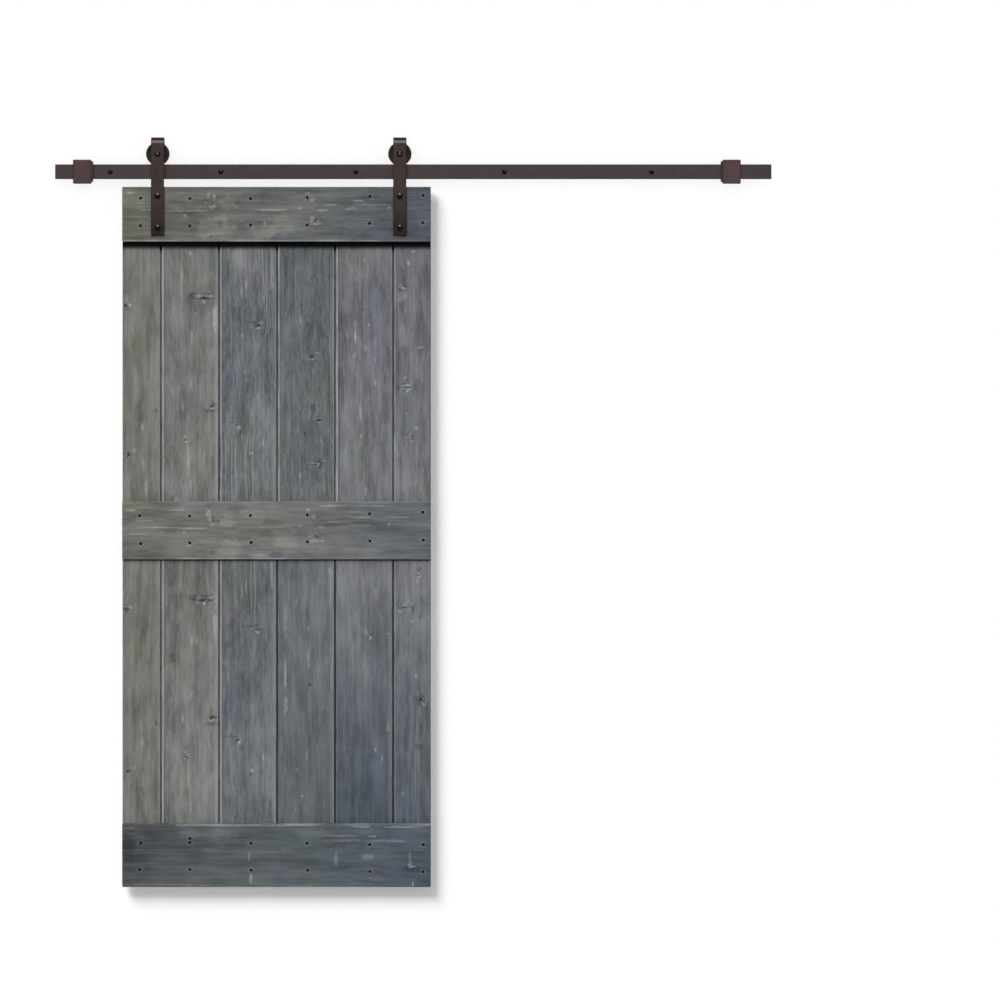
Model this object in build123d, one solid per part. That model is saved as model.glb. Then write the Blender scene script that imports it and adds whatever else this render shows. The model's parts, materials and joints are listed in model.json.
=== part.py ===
# Ledged plank barn door that hangs from two strap hangers and rolls along a flat wall track.
# Millimetres. +X runs right along the wall, +Y points into the wall, +Z is up.
# The origin is the centre of the middle standoff's back face, on the wall plane.
import math
import os

from build123d import *

# Door panel
DOOR_HEIGHT = 2134.0
DOOR_WIDTH = 940.0
DOOR_INSET = 205.0  # from the track's left end to the door's left edge
DOOR_DROP = 24.0  # from the track's lower edge to the door's top edge
WALL_GAP = 15.0  # from the wall plane to the back of the planks

# Planks, tongued on the right and grooved on the left
FULL_PLANKS = 4  # equal planks between the two narrower edge planks
EDGE_PLANK_COVER = 116.0
PLANK_THICKNESS = 20.0
PLANK_GAP = 1.0
PLANK_CHAMFER = 3.0
TONGUE_LENGTH = 8.0
TONGUE_THICKNESS = 6.0
TONGUE_CLEARANCE = 0.3

# Ledges, the horizontal boards across the front
LEDGE_THICKNESS = 18.0
LEDGE_CHAMFER = 1.5
TOP_LEDGE_HEIGHT = 167.0
MIDDLE_LEDGE_HEIGHT = 177.0
BOTTOM_LEDGE_HEIGHT = 194.0
MIDDLE_LEDGE_RISE = 1087.0  # from the door's bottom edge to the middle ledge's centre line

# Track bar and its fixings
TRACK_HEIGHT = 45.0
TRACK_THICKNESS = 6.0
TRACK_CHAMFER = 0.8
FIRST_BOLT_INSET = 168.0
LAST_BOLT_INSET = 366.0
BOLT_SPANS = (337.0, 412.0, 453.0, 448.0)
ORIGIN_BOLT = 2  # the bolt that the origin lies on, counted from the left, starting at 0
STANDOFF_RADIUS = 11.0
STANDOFF_CHAMFER = 1.0
LAG_RADIUS = 4.0
LAG_THREAD_RADIUS = 3.7
LAG_SHANK_IN_WALL = 2.0  # how far the plain shank runs on past the wall plane
LAG_THREAD_LENGTH = 35.0
LAG_TIP_LENGTH = 8.0
LAG_TIP_RADIUS = 0.8
LAG_HEAD_FLATS = 14.0
LAG_HEAD_HEIGHT = 5.5
LAG_CLEARANCE = 0.5

# End stops, clamped round the track
LEFT_STOP_INSET = 55.0
RIGHT_STOP_INSET = 94.0
STOP_WIDTH = 55.0
STOP_HEIGHT = 73.0
STOP_FRONT = 10.0
STOP_CHAMFER = 2.0
STOP_SLOT_CLEARANCE = 0.3
STOP_PAD_THICKNESS = 6.0
STOP_PAD_MARGIN = 5.0
CLAMP_PLATE_THICKNESS = 6.0
CLAMP_SCREW_RADIUS = 3.0
CLAMP_SCREW_DEPTH = 11.0
CLAMP_SCREW_CLEARANCE = 0.2
CLAMP_HEAD_RADIUS = 5.0
CLAMP_HEAD_HEIGHT = 3.5

# Grooved wheels and their bearings
WHEEL_RADIUS = 35.5
GROOVE_DEPTH = 4.0
GROOVE_CLEARANCE = 1.0
GROOVE_FLARE = 1.0
FLANGE_THICKNESS = 6.0
FLANGE_CHAMFER = 1.5
RIM_WALL = 4.5
WEB_RECESS = 3.5
HUB_RADIUS = 18.0
HUB_RECESS = 1.0
ROLL_CLEARANCE = 0.3  # between the groove's floor and the track's top edge
BEARING_RADIUS = 13.0
BEARING_WIDTH = 8.0
BEARING_RING = 2.2
BEARING_SHIELD_RECESS = 0.6
BEARING_SEAT_CLEARANCE = 0.05

# Strap hangers
LEFT_HANGER_OFFSET = 8.0  # from the first plank joint out to the left hanger's centre line
RIGHT_HANGER_OFFSET = 22.0  # from the last plank joint out to the right hanger's centre line
STRAP_WIDTH = 40.0
STRAP_THICKNESS = 6.0
STRAP_CHAMFER = 0.8
STRAP_OVERLAP = 150.0  # from the door's top edge down to the strap's lower end
STRAP_CLEARANCE = 5.5  # between the track's bolt heads and the passing strap
CROWN_CLEARANCE = 8.8  # between the wheel's rim and the strap's bend
REAR_LEG_DROP = 22.0  # from the axle down to the rear leg's end
REAR_LEG_CORNER = 8.0
UPPER_BOLT_INSET = 28.0  # from the door's top edge to the upper hanger bolt
LOWER_BOLT_INSET = 25.0  # from the strap's lower end up to the lower hanger bolt

# Axle and hanger bolts with their nuts
BOLT_HEAD_FLATS = 17.0
BOLT_HEAD_HEIGHT = 6.5
HEAD_CHAMFER = 1.6
AXLE_RADIUS = 5.0
AXLE_RUNNING_CLEARANCE = 0.05
AXLE_HOLE_CLEARANCE = 0.2
AXLE_NUT_HEIGHT = 7.0
SPACER_RADIUS = 7.0
SPACER_RUNNING_CLEARANCE = 0.3
HANGER_BOLT_RADIUS = 5.0
HANGER_BOLT_CLEARANCE = 0.5
NUT_CLEARANCE = 0.1
NUT_HEIGHT = 6.0
NUT_FLANGE_RADIUS = 11.0
NUT_FLANGE_HEIGHT = 2.0
BOLT_END = 1.0  # how far a bolt's end stands out of its nut

# Depths, measured along Y from the wall plane
plank_back = -WALL_GAP
plank_front = plank_back - PLANK_THICKNESS
ledge_front = plank_front - LEDGE_THICKNESS
track_front = ledge_front + STRAP_CLEARANCE + LAG_HEAD_HEIGHT
track_back = track_front + TRACK_THICKNESS
track_middle = (track_front + track_back) / 2
standoff_length = -track_back
bend_inner_radius = track_middle - ledge_front
bend_outer_radius = bend_inner_radius + STRAP_THICKNESS
strap_front = track_middle - bend_outer_radius
strap_back = track_middle + bend_outer_radius

# Heights
track_top = TRACK_HEIGHT / 2
track_bottom = -TRACK_HEIGHT / 2
door_top = track_bottom - DOOR_DROP
door_bottom = door_top - DOOR_HEIGHT
roll_radius = WHEEL_RADIUS - GROOVE_DEPTH
axle_height = track_top + ROLL_CLEARANCE + roll_radius
bend_centre_height = axle_height + WHEEL_RADIUS + CROWN_CLEARANCE - bend_inner_radius
strap_bottom = door_top - STRAP_OVERLAP
rear_leg_bottom = axle_height - REAR_LEG_DROP
hanger_bolt_heights = (door_top - UPPER_BOLT_INSET, strap_bottom + LOWER_BOLT_INSET)

# Places along the track
track_left = -FIRST_BOLT_INSET - sum(BOLT_SPANS[:ORIGIN_BOLT])
track_length = FIRST_BOLT_INSET + sum(BOLT_SPANS) + LAST_BOLT_INSET
track_right = track_left + track_length
lag_places = [track_left + FIRST_BOLT_INSET + sum(BOLT_SPANS[:i]) for i in range(len(BOLT_SPANS) + 1)]
door_left = track_left + DOOR_INSET
door_right = door_left + DOOR_WIDTH
first_joint = door_left + EDGE_PLANK_COVER
last_joint = door_right - EDGE_PLANK_COVER
hanger_places = {
    "left": first_joint - LEFT_HANGER_OFFSET,
    "right": last_joint + RIGHT_HANGER_OFFSET,
}

# Wheel section
groove_half_width = TRACK_THICKNESS / 2 + GROOVE_CLEARANCE
wheel_half_width = groove_half_width + FLANGE_THICKNESS


def block(x_range, y_range, z_range):
    """A box given by its lower and upper bounds."""
    lows = [bounds[0] for bounds in (x_range, y_range, z_range)]
    sizes = [bounds[1] - bounds[0] for bounds in (x_range, y_range, z_range)]
    return Pos(*lows) * Box(*sizes, align=Align.MIN)


def facing_front(x, y, z):
    """Frame for turned pieces: its own Z points out of the wall, its own Y points up."""
    return Plane(origin=(x, y, z), x_dir=(1, 0, 0), z_dir=(0, -1, 0))


def facing_back(x, y, z):
    """Frame for pieces behind: its own Z points into the wall, its own Y points up."""
    return Plane(origin=(x, y, z), x_dir=(-1, 0, 0), z_dir=(0, 1, 0))


def rod(x, z, radius, y_range):
    """A round bar along Y."""
    length = y_range[1] - y_range[0]
    upright = Cylinder(radius, length, align=(Align.CENTER, Align.CENTER, Align.MIN))
    return facing_front(x, y_range[1], z) * upright


def hexagon(flats, height):
    """A six-sided block with its far corners turned off, standing on the XY plane."""
    prism = extrude(RegularPolygon(flats / 2, 6, major_radius=False), height)
    corner_radius = flats / math.sqrt(3)
    cone_stock = Cylinder(corner_radius, height, align=(Align.CENTER, Align.CENTER, Align.MIN))
    far_edge = cone_stock.edges().group_by(Axis.Z)[-1]
    return prism & chamfer(far_edge, HEAD_CHAMFER)


def tube(outer_radius, inner_radius, length):
    """A sleeve along Z, standing on the XY plane."""
    align = (Align.CENTER, Align.CENTER, Align.MIN)
    return Cylinder(outer_radius, length, align=align) - Cylinder(inner_radius, length, align=align)


def turned(points):
    """A ring revolved about Z from its closed section, given as radius and height."""
    section = make_face(Polyline([(r, 0, z) for r, z in points], close=True))
    return revolve(section, Axis.Z)


def mirrored_section(upper_half):
    """A section that is the same above and below its middle height."""
    lower_half = [(r, -z) for r, z in reversed(upper_half)]
    return upper_half + lower_half


# Panel

def plank_bounds():
    """Left and right limits of each plank's share of the door."""
    full_cover = (last_joint - first_joint) / FULL_PLANKS
    joints = [first_joint + full_cover * i for i in range(FULL_PLANKS + 1)]
    limits = [door_left] + joints + [door_right]
    return list(zip(limits[:-1], limits[1:]))


def hanger_bolt_cutters():
    """Clearance holes for the hanger bolts, through strap, ledge and planks."""
    radius = HANGER_BOLT_RADIUS + HANGER_BOLT_CLEARANCE
    depth = (strap_front, plank_back)
    return [rod(x, z, radius, depth) for x in hanger_places.values() for z in hanger_bolt_heights]


def plank(index, bounds):
    """A tongued and grooved plank with V edges on both faces."""
    first = index == 0
    last = index == FULL_PLANKS + 1
    left = bounds[0] + (0 if first else PLANK_GAP / 2)
    right = bounds[1] - (0 if last else PLANK_GAP / 2)
    middle = (plank_front + plank_back) / 2
    section = Pos((left + right) / 2, middle) * Rectangle(right - left, PLANK_THICKNESS)
    section = chamfer(section.vertices(), PLANK_CHAMFER)
    if not last:
        tongue = Rectangle(TONGUE_LENGTH, TONGUE_THICKNESS, align=(Align.MIN, Align.CENTER))
        section += Pos(right, middle) * tongue
    if not first:
        groove_depth = TONGUE_LENGTH - PLANK_GAP + TONGUE_CLEARANCE
        groove_width = TONGUE_THICKNESS + 2 * TONGUE_CLEARANCE
        groove = Rectangle(groove_depth, groove_width, align=(Align.MIN, Align.CENTER))
        section -= Pos(left, middle) * groove
    board = Pos(0, 0, door_bottom) * extrude(section, DOOR_HEIGHT, dir=(0, 0, 1))
    for cutter in hanger_bolt_cutters():
        board -= cutter
    return board


def ledge(bottom, height):
    """A board across the planks with eased front edges."""
    board = block((door_left, door_right), (ledge_front, plank_front), (bottom, bottom + height))
    front_edges = board.faces().sort_by(Axis.Y)[0].edges()
    return chamfer(front_edges, LEDGE_CHAMFER)


def top_ledge():
    """The top board, bored for the hanger bolts."""
    board = ledge(door_top - TOP_LEDGE_HEIGHT, TOP_LEDGE_HEIGHT)
    for cutter in hanger_bolt_cutters():
        board -= cutter
    return board


# Track

def track_bar():
    """A flat bar on edge, bored for its lag bolts."""
    bar = block((track_left, track_right), (track_front, track_back), (track_bottom, track_top))
    bar = chamfer(bar.edges().filter_by(Axis.X), TRACK_CHAMFER)
    for x in lag_places:
        bar -= rod(x, 0, LAG_RADIUS + LAG_CLEARANCE, (track_front, track_back))
    return bar


def standoff(x):
    """A round sleeve that holds the track off the wall."""
    sleeve = tube(STANDOFF_RADIUS, LAG_RADIUS + LAG_CLEARANCE, standoff_length)
    rims = sleeve.edges().filter_by(GeomType.CIRCLE).group_by(SortBy.RADIUS)[-1]
    return facing_front(x, 0, 0) * chamfer(rims, STANDOFF_CHAMFER)


def lag_bolt(x):
    """A hex lag bolt through track and standoff, with its threaded end in the wall."""
    shank_length = TRACK_THICKNESS + standoff_length + LAG_SHANK_IN_WALL
    thread_end = shank_length + LAG_THREAD_LENGTH
    tip_end = thread_end + LAG_TIP_LENGTH
    core = turned(
        [
            (0, 0),
            (LAG_RADIUS, 0),
            (LAG_RADIUS, -shank_length),
            (LAG_THREAD_RADIUS, -shank_length),
            (LAG_THREAD_RADIUS, -thread_end),
            (LAG_TIP_RADIUS, -tip_end),
            (0, -tip_end),
        ]
    )
    return facing_front(x, track_front, 0) * (core + hexagon(LAG_HEAD_FLATS, LAG_HEAD_HEIGHT))


# End stops

def stop_section(height):
    """Section across the track: a block in front of it, with arms over and under it."""
    depth = TRACK_THICKNESS + STOP_FRONT
    slot = TRACK_HEIGHT + 2 * STOP_SLOT_CLEARANCE
    outer = Rectangle(depth, height, align=(Align.MAX, Align.CENTER))
    channel = Rectangle(TRACK_THICKNESS + STOP_SLOT_CLEARANCE, slot, align=(Align.MAX, Align.CENTER))
    return Pos(track_back, 0) * (outer - channel)


def along_track(section, x_range):
    """A section across the track, drawn out between two places along it."""
    across = Plane(origin=(x_range[0], 0, 0), x_dir=(0, 1, 0), z_dir=(1, 0, 0))
    return extrude(across * section, x_range[1] - x_range[0], dir=(1, 0, 0))


def stop_places(side):
    """The stop block's bounds along the track, and its pad's, on the side of the wheel."""
    if side == "left":
        near = track_left + LEFT_STOP_INSET
        far = near + STOP_WIDTH
        return (near, far), (far, far + STOP_PAD_THICKNESS)
    far = track_right - RIGHT_STOP_INSET
    near = far - STOP_WIDTH
    return (near, far), (near - STOP_PAD_THICKNESS, near)


def clamp_screw_centres(side):
    """Places of the clamp screws, one in each arm of the stop block."""
    bounds, _ = stop_places(side)
    height = (STOP_HEIGHT / 2 + track_top + STOP_SLOT_CLEARANCE) / 2
    return [((bounds[0] + bounds[1]) / 2, z) for z in (-height, height)]


def stop_body(side):
    """The stop's block, tapped from behind for its clamp screws."""
    bounds, _ = stop_places(side)
    body = along_track(stop_section(STOP_HEIGHT), bounds)
    front_edges = body.faces().sort_by(Axis.Y)[0].edges()
    body = chamfer(front_edges, STOP_CHAMFER)
    hole_radius = CLAMP_SCREW_RADIUS + CLAMP_SCREW_CLEARANCE
    hole_depth = CLAMP_SCREW_DEPTH + CLAMP_SCREW_CLEARANCE
    for x, z in clamp_screw_centres(side):
        body -= rod(x, z, hole_radius, (track_back - hole_depth, track_back))
    return body


def stop_pad(side):
    """A soft pad on the face that the wheel meets."""
    _, bounds = stop_places(side)
    pad = along_track(stop_section(STOP_HEIGHT - 2 * STOP_PAD_MARGIN), bounds)
    rim = pad.faces().sort_by(Axis.Y)[0].edges().filter_by(Axis.X)
    return fillet(rim, STOP_PAD_MARGIN)


def clamp_plate(side):
    """The plate behind the track that closes the stop block."""
    bounds, _ = stop_places(side)
    depth = (track_back, track_back + CLAMP_PLATE_THICKNESS)
    plate = block(bounds, depth, (-STOP_HEIGHT / 2, STOP_HEIGHT / 2))
    for x, z in clamp_screw_centres(side):
        plate -= rod(x, z, CLAMP_SCREW_RADIUS + CLAMP_SCREW_CLEARANCE, depth)
    return plate


def clamp_screws(side):
    """The two round-headed screws of one stop."""
    plate_back = track_back + CLAMP_PLATE_THICKNESS
    shank_depth = (track_back - CLAMP_SCREW_DEPTH, plate_back)
    head_depth = (plate_back, plate_back + CLAMP_HEAD_HEIGHT)
    screws = []
    for x, z in clamp_screw_centres(side):
        shank = rod(x, z, CLAMP_SCREW_RADIUS, shank_depth)
        head = rod(x, z, CLAMP_HEAD_RADIUS, head_depth)
        head = fillet(head.edges().sort_by(Axis.Y)[-1], CLAMP_HEAD_HEIGHT / 2)
        screws.append(shank + head)
    return Compound(children=screws)


# Wheels

def wheel(x):
    """A flanged wheel whose groove runs on the track's top edge."""
    seat_radius = BEARING_RADIUS + BEARING_SEAT_CLEARANCE
    rim_inner_radius = roll_radius - RIM_WALL
    upper_half = [
        (seat_radius, wheel_half_width - HUB_RECESS),
        (HUB_RADIUS, wheel_half_width - HUB_RECESS),
        (HUB_RADIUS, wheel_half_width - WEB_RECESS),
        (rim_inner_radius, wheel_half_width - WEB_RECESS),
        (rim_inner_radius, wheel_half_width),
        (WHEEL_RADIUS - FLANGE_CHAMFER, wheel_half_width),
        (WHEEL_RADIUS, wheel_half_width - FLANGE_CHAMFER),
        (WHEEL_RADIUS, groove_half_width + GROOVE_FLARE),
        (roll_radius, groove_half_width),
    ]
    return facing_front(x, track_middle, axle_height) * turned(mirrored_section(upper_half))


def bearing(x):
    """A shielded ball bearing, outer and inner rings with the shield set back between them."""
    bore = AXLE_RADIUS + AXLE_RUNNING_CLEARANCE
    half_width = BEARING_WIDTH / 2
    upper_half = [
        (bore, half_width),
        (bore + BEARING_RING, half_width),
        (bore + BEARING_RING, half_width - BEARING_SHIELD_RECESS),
        (BEARING_RADIUS - BEARING_RING, half_width - BEARING_SHIELD_RECESS),
        (BEARING_RADIUS - BEARING_RING, half_width),
        (BEARING_RADIUS, half_width),
    ]
    return facing_front(x, track_middle, axle_height) * turned(mirrored_section(upper_half))


# Hangers

def hanger(x):
    """A flat strap that runs up the door's face, bends over the wheel and comes down behind it."""
    bend = Circle(bend_outer_radius) - Circle(bend_inner_radius)
    crown = Rectangle(2 * bend_outer_radius, bend_outer_radius, align=(Align.CENTER, Align.MIN))
    section = Pos(track_middle, bend_centre_height) * (bend & crown)
    leg_corner = (Align.MIN, Align.MAX)
    front_leg = Rectangle(STRAP_THICKNESS, bend_centre_height - strap_bottom, align=leg_corner)
    rear_leg = Rectangle(STRAP_THICKNESS, bend_centre_height - rear_leg_bottom, align=leg_corner)
    section += Pos(strap_front, bend_centre_height) * front_leg
    section += Pos(strap_back - STRAP_THICKNESS, bend_centre_height) * rear_leg
    strap = along_track(section, (x - STRAP_WIDTH / 2, x + STRAP_WIDTH / 2))
    rear_end = strap.faces().filter_by(Axis.Z).sort_by(Axis.Y)[-1]
    strap = fillet(rear_end.edges().filter_by(Axis.Y), REAR_LEG_CORNER)
    front_face = strap.faces().filter_by(Axis.Y).sort_by(Axis.Y)[0]
    strap = chamfer(front_face.edges().filter_by(Axis.Z), STRAP_CHAMFER)
    strap -= rod(x, axle_height, AXLE_RADIUS + AXLE_HOLE_CLEARANCE, (strap_front, strap_back))
    for cutter in hanger_bolt_cutters():
        strap -= cutter
    return strap


def headed_bolt(x, z, radius, head_seat, end):
    """A hex bolt whose head seats on the front at one depth and whose end lies further back."""
    shank = rod(x, z, radius, (head_seat, end))
    return shank + facing_front(x, head_seat, z) * hexagon(BOLT_HEAD_FLATS, BOLT_HEAD_HEIGHT)


def axle_bolt(x):
    """The bolt that the wheel turns on."""
    return headed_bolt(x, axle_height, AXLE_RADIUS, strap_front, strap_back + AXLE_NUT_HEIGHT + BOLT_END)


def axle_nut(x):
    """The hex nut behind the rear leg."""
    nut = facing_back(x, strap_back, axle_height) * hexagon(BOLT_HEAD_FLATS, AXLE_NUT_HEIGHT)
    bore_radius = AXLE_RADIUS + NUT_CLEARANCE
    return nut - rod(x, axle_height, bore_radius, (strap_back, strap_back + AXLE_NUT_HEIGHT))


def axle_spacers(x):
    """Sleeves that keep the bearing centred between the strap's legs."""
    length = bend_inner_radius - BEARING_WIDTH / 2 - SPACER_RUNNING_CLEARANCE
    sleeve = tube(SPACER_RADIUS, AXLE_RADIUS + NUT_CLEARANCE, length)
    front_seat = track_middle - bend_inner_radius
    rear_seat = track_middle + bend_inner_radius
    front = facing_back(x, front_seat, axle_height) * sleeve
    rear = facing_front(x, rear_seat, axle_height) * sleeve
    return Compound(children=[front, rear])


def hanger_bolts(x):
    """The two bolts that hold one strap to the door."""
    end = plank_back + NUT_FLANGE_HEIGHT + NUT_HEIGHT + BOLT_END
    bolts = [headed_bolt(x, z, HANGER_BOLT_RADIUS, strap_front, end) for z in hanger_bolt_heights]
    return Compound(children=bolts)


def hanger_nuts(x):
    """The flanged nuts behind the planks."""
    height = NUT_FLANGE_HEIGHT + NUT_HEIGHT
    nuts = []
    for z in hanger_bolt_heights:
        flange = rod(x, z, NUT_FLANGE_RADIUS, (plank_back, plank_back + NUT_FLANGE_HEIGHT))
        body = facing_back(x, plank_back, z) * hexagon(BOLT_HEAD_FLATS, height)
        bore_radius = HANGER_BOLT_RADIUS + NUT_CLEARANCE
        nuts.append(flange + body - rod(x, z, bore_radius, (plank_back, plank_back + height)))
    return Compound(children=nuts)


# Nodes

def all_nodes():
    """Every piece by its node name."""
    nodes = {"track_bar": track_bar()}
    for number, x in enumerate(lag_places, start=1):
        nodes[f"standoff_{number}"] = standoff(x)
        nodes[f"lag_bolt_{number}"] = lag_bolt(x)
    for side in ("left", "right"):
        nodes[f"{side}_stop_body"] = stop_body(side)
        nodes[f"{side}_stop_pad"] = stop_pad(side)
        nodes[f"{side}_stop_clamp_plate"] = clamp_plate(side)
        nodes[f"{side}_stop_screws"] = clamp_screws(side)
    for index, bounds in enumerate(plank_bounds()):
        nodes[f"plank_{index + 1}"] = plank(index, bounds)
    nodes["top_ledge"] = top_ledge()
    middle_bottom = door_bottom + MIDDLE_LEDGE_RISE - MIDDLE_LEDGE_HEIGHT / 2
    nodes["middle_ledge"] = ledge(middle_bottom, MIDDLE_LEDGE_HEIGHT)
    nodes["bottom_ledge"] = ledge(door_bottom, BOTTOM_LEDGE_HEIGHT)
    for side, x in hanger_places.items():
        nodes[f"{side}_hanger"] = hanger(x)
        nodes[f"{side}_hanger_bolts"] = hanger_bolts(x)
        nodes[f"{side}_hanger_nuts"] = hanger_nuts(x)
        nodes[f"{side}_axle_bolt"] = axle_bolt(x)
        nodes[f"{side}_axle_nut"] = axle_nut(x)
        nodes[f"{side}_axle_spacers"] = axle_spacers(x)
        nodes[f"{side}_wheel"] = wheel(x)
        nodes[f"{side}_bearing"] = bearing(x)
    return nodes


os.makedirs("parts", exist_ok=True)
for name, shape in all_nodes().items():
    export_step(shape, f"parts/{name}.step")
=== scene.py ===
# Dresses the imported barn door: stained pine boards, bronze-coated hardware, a white wall and soft light.
import json
import math
from collections import namedtuple

import bmesh
import bpy
import numpy as np
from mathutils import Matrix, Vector


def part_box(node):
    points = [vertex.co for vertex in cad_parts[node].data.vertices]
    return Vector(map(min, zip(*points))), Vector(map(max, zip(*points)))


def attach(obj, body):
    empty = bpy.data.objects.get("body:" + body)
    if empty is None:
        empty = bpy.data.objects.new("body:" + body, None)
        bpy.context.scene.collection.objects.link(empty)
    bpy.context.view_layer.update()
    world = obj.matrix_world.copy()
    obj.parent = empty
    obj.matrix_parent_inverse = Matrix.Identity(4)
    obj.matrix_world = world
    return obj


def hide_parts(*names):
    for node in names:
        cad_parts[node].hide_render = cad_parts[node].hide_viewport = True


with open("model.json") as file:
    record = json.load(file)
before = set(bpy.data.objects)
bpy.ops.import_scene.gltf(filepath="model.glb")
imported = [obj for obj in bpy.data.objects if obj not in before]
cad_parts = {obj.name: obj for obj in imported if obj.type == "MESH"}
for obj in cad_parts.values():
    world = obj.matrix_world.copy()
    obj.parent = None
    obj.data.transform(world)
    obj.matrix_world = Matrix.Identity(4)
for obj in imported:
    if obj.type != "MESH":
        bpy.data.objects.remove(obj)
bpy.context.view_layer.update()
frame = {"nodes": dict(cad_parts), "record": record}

# The photograph: one scale, and the pixel that the frame's origin falls on
IMAGE_SIDE = 1000
METRES_PER_PIXEL = 0.003047
ORIGIN_PIXEL = (355.8, 171.5)
CAMERA_DISTANCE = 20.0
SENSOR_WIDTH = 36.0
CAMERA_SEES_TO = 200.0

# Light: where each lamp shines from, how wide it looks and how strong it is
KEY_FROM = (-0.36, -1.0, 0.40)
KEY_WIDTH = math.radians(40)
KEY_STRENGTH = 1.95
STRIP_PLACE = (0.2, -10.7, 9.0)
STRIP_SIZE = (10.0, 8.0)
STRIP_POWER = 2600.0
WALL_LIGHT_FROM = (-1.0, -1.0, 1.45)
WALL_LIGHT_WIDTH = math.radians(30)
WALL_LIGHT_STRENGTH = 6.6
WALL_FILL_FROM = (0.0, -1.0, 0.6)
WALL_FILL_STRENGTH = 2.3
BACK_FROM = (0.5, 1.0, 0.4)
BACK_STRENGTH = 1.5
AMBIENT = 0.40
SURROUND_SIDES = 0.45  # how bright the studio's sides look in glossy surfaces
SURROUND_ENDS = 0.35  # how bright its ceiling and floor look there
SURROUND_RISE = (0.25, 0.65)  # where the sides pass into the ends, as the height of a direction
WALL_TONE = 0.5  # lit to white by lamps of its own, so that little but the door's shadow shows

# Stage
WALL_GAP = 0.0005
STAGE_HALF_WIDTH = 9.0
FLOOR_DROP = 0.38  # from the door's lower edge to the floor

# How shapes are rounded, smoothed and divided
CORNER_SHARE = 0.45  # the most of a side that one rounded corner takes up
ROUND_MIDDLE = 0.3  # where the middle of a rounded end lies, against the rounding
HOLD_SHARE = 0.3  # how far past a rounding a flat face starts to be truly flat, against the rounding
MERGE_DISTANCE = 1e-7
SHARP_ANGLE = math.radians(32)
NOISE_SIDE = 256  # the side of the square table that noise is read from
TURNED_SEGMENTS = 64
HEAD_SEGMENTS = 72
LAG_SEGMENTS = 36
SCREW_SEGMENTS = 48
WHEEL_SEGMENTS = 128
BEARING_SEGMENTS = 96
NAIL_SEGMENTS = 16
HOLE_SEGMENTS = 20

# Boards
BOARD_EASE = 0.0009
BOARD_ACROSS_STEP = 0.005
PLANK_ALONG_STEP = 0.015
LEDGE_ALONG_STEP = 0.008
PLANK_CHAMFER = 0.003
TONGUE_LENGTH = 0.008
TONGUE_THICKNESS = 0.006
GROOVE_WIDTH = 0.0066
GROOVE_DEPTH = 0.0073
LEDGE_EASE = 0.0028
CUP_DEPTH = 0.0007
RIDGE_DEPTH = 0.0004
SWELL_DEPTH = 0.0006
EDGE_NICK = 0.0011
GRAIN_BEND = 0.006
BEND_CELL = (0.05, 0.4)  # the cells of the relief's noise, across and along a board
RIDGE_CELL = (0.011, 0.3)
SWELL_CELL = (0.07, 0.35)
NICK_CELL = (0.02, 0.02)
RELIEF_START = 0.002  # from a board's edge
RELIEF_FADE = 0.012
FACE_DEPTH = 0.004  # what lies no deeper than this belongs to a board's face
JOINT_MARGIN = 0.0005
PLANK_RELIEF_SEED = 10  # for each plank's number
LEDGE_RELIEF_SEED = 100
LEDGE_RELIEF_STEP = 10

# Nails in the ledges: columns from the door's left edge, rows from the ledge's upper edge and how far
# the rows climb
NAIL_COLUMNS = (0.055, 0.2055, 0.392, 0.5645, 0.755, 0.917)
NAIL_ROWS = {
    "top_ledge": (0.0361, 0.1192, 0.0104),
    "middle_ledge": (0.0441, 0.1276, 0.0100),
    "bottom_ledge": (0.0587, 0.1406, -0.0075),
}
NAIL_SCATTER = 0.0014
SPARE_NAIL_PIXEL = (190.0, 838.5)  # one nail too many in the bottom ledge
NAIL_HOLE_RADIUS = 0.0051
NAIL_HOLE_DEPTH = 0.007
NAIL_SINK = 0.0042
NAIL_RIM_REACH = 0.006
NAIL_HOLE_TAPER = 0.9  # the foot of a hole, and the head in it, against NAIL_HOLE_RADIUS
NAIL_HEAD_THICKNESS = 0.0015
NAIL_HEAD_CHAMFER = 0.0004
NAIL_HEAD_CROWN = 0.0001
NAIL_FACE_SHARE = 0.6
NAIL_EASE = 0.0002
NAIL_SEED = 8
HOLE_MARGIN = 0.0003
HOLE_WALL_START = 0.002  # below the ledge's face
HOLE_RIM_DEPTH = 0.003

# Hardware
COAT_EASE = 0.0018
BAR_STEP = 0.03
GLINT_RADIUS = 0.0019  # a painted highlight on a head
GLINT_FADE = 1.6  # where that spot ends, against its radius
AXLE_GLINT_RISE = -0.0008  # from the middle of the head up to that spot
HANGER_GLINT_RISE = 0.0060
STRAP_THICKNESS = 0.006
STRAP_CORNER = 0.008
STRAP_STEP = 0.02
STRAP_END_STEP = 0.002
STRAP_BEND_STEPS = 24
BEHIND_WHEELS = -0.03  # the rear half of a strap lies deeper than this
STRAP_DIM_HEIGHTS = (-0.200, -0.070)  # the strap is darker towards its lower end
HEAD_CHAMFER_SHARE = 0.94  # the turned face of a hex head against the distance across its flats
HEAD_CHAMFER_ANGLE = math.radians(30)
HEAD_EASE = 0.0004
HEX_CORNER_SHARE = 0.985  # what wear leaves of a hexagon's corners
DOME_SHARE = 0.26  # the part of a head's height that its domed face takes up
DOME_STEPS = 6
BOLT_RADIUS = 0.005
BOLT_HEAD_HEIGHT = 0.0065
BOLT_END_CHAMFER = 0.0008
NUT_FLANGE_HEIGHT = 0.002
NUT_FLANGE_EDGE = 0.6  # the flange's upright edge against its height
NUT_NECK = 0.0004
NUT_NECK_FLARE = 0.0002
NUT_BORE_CHAMFER = 0.0006
LAG_RADIUS = 0.004
LAG_ROOT_RADIUS = 0.0029
LAG_CREST_RADIUS = 0.0037
LAG_PITCH = 0.0032
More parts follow.
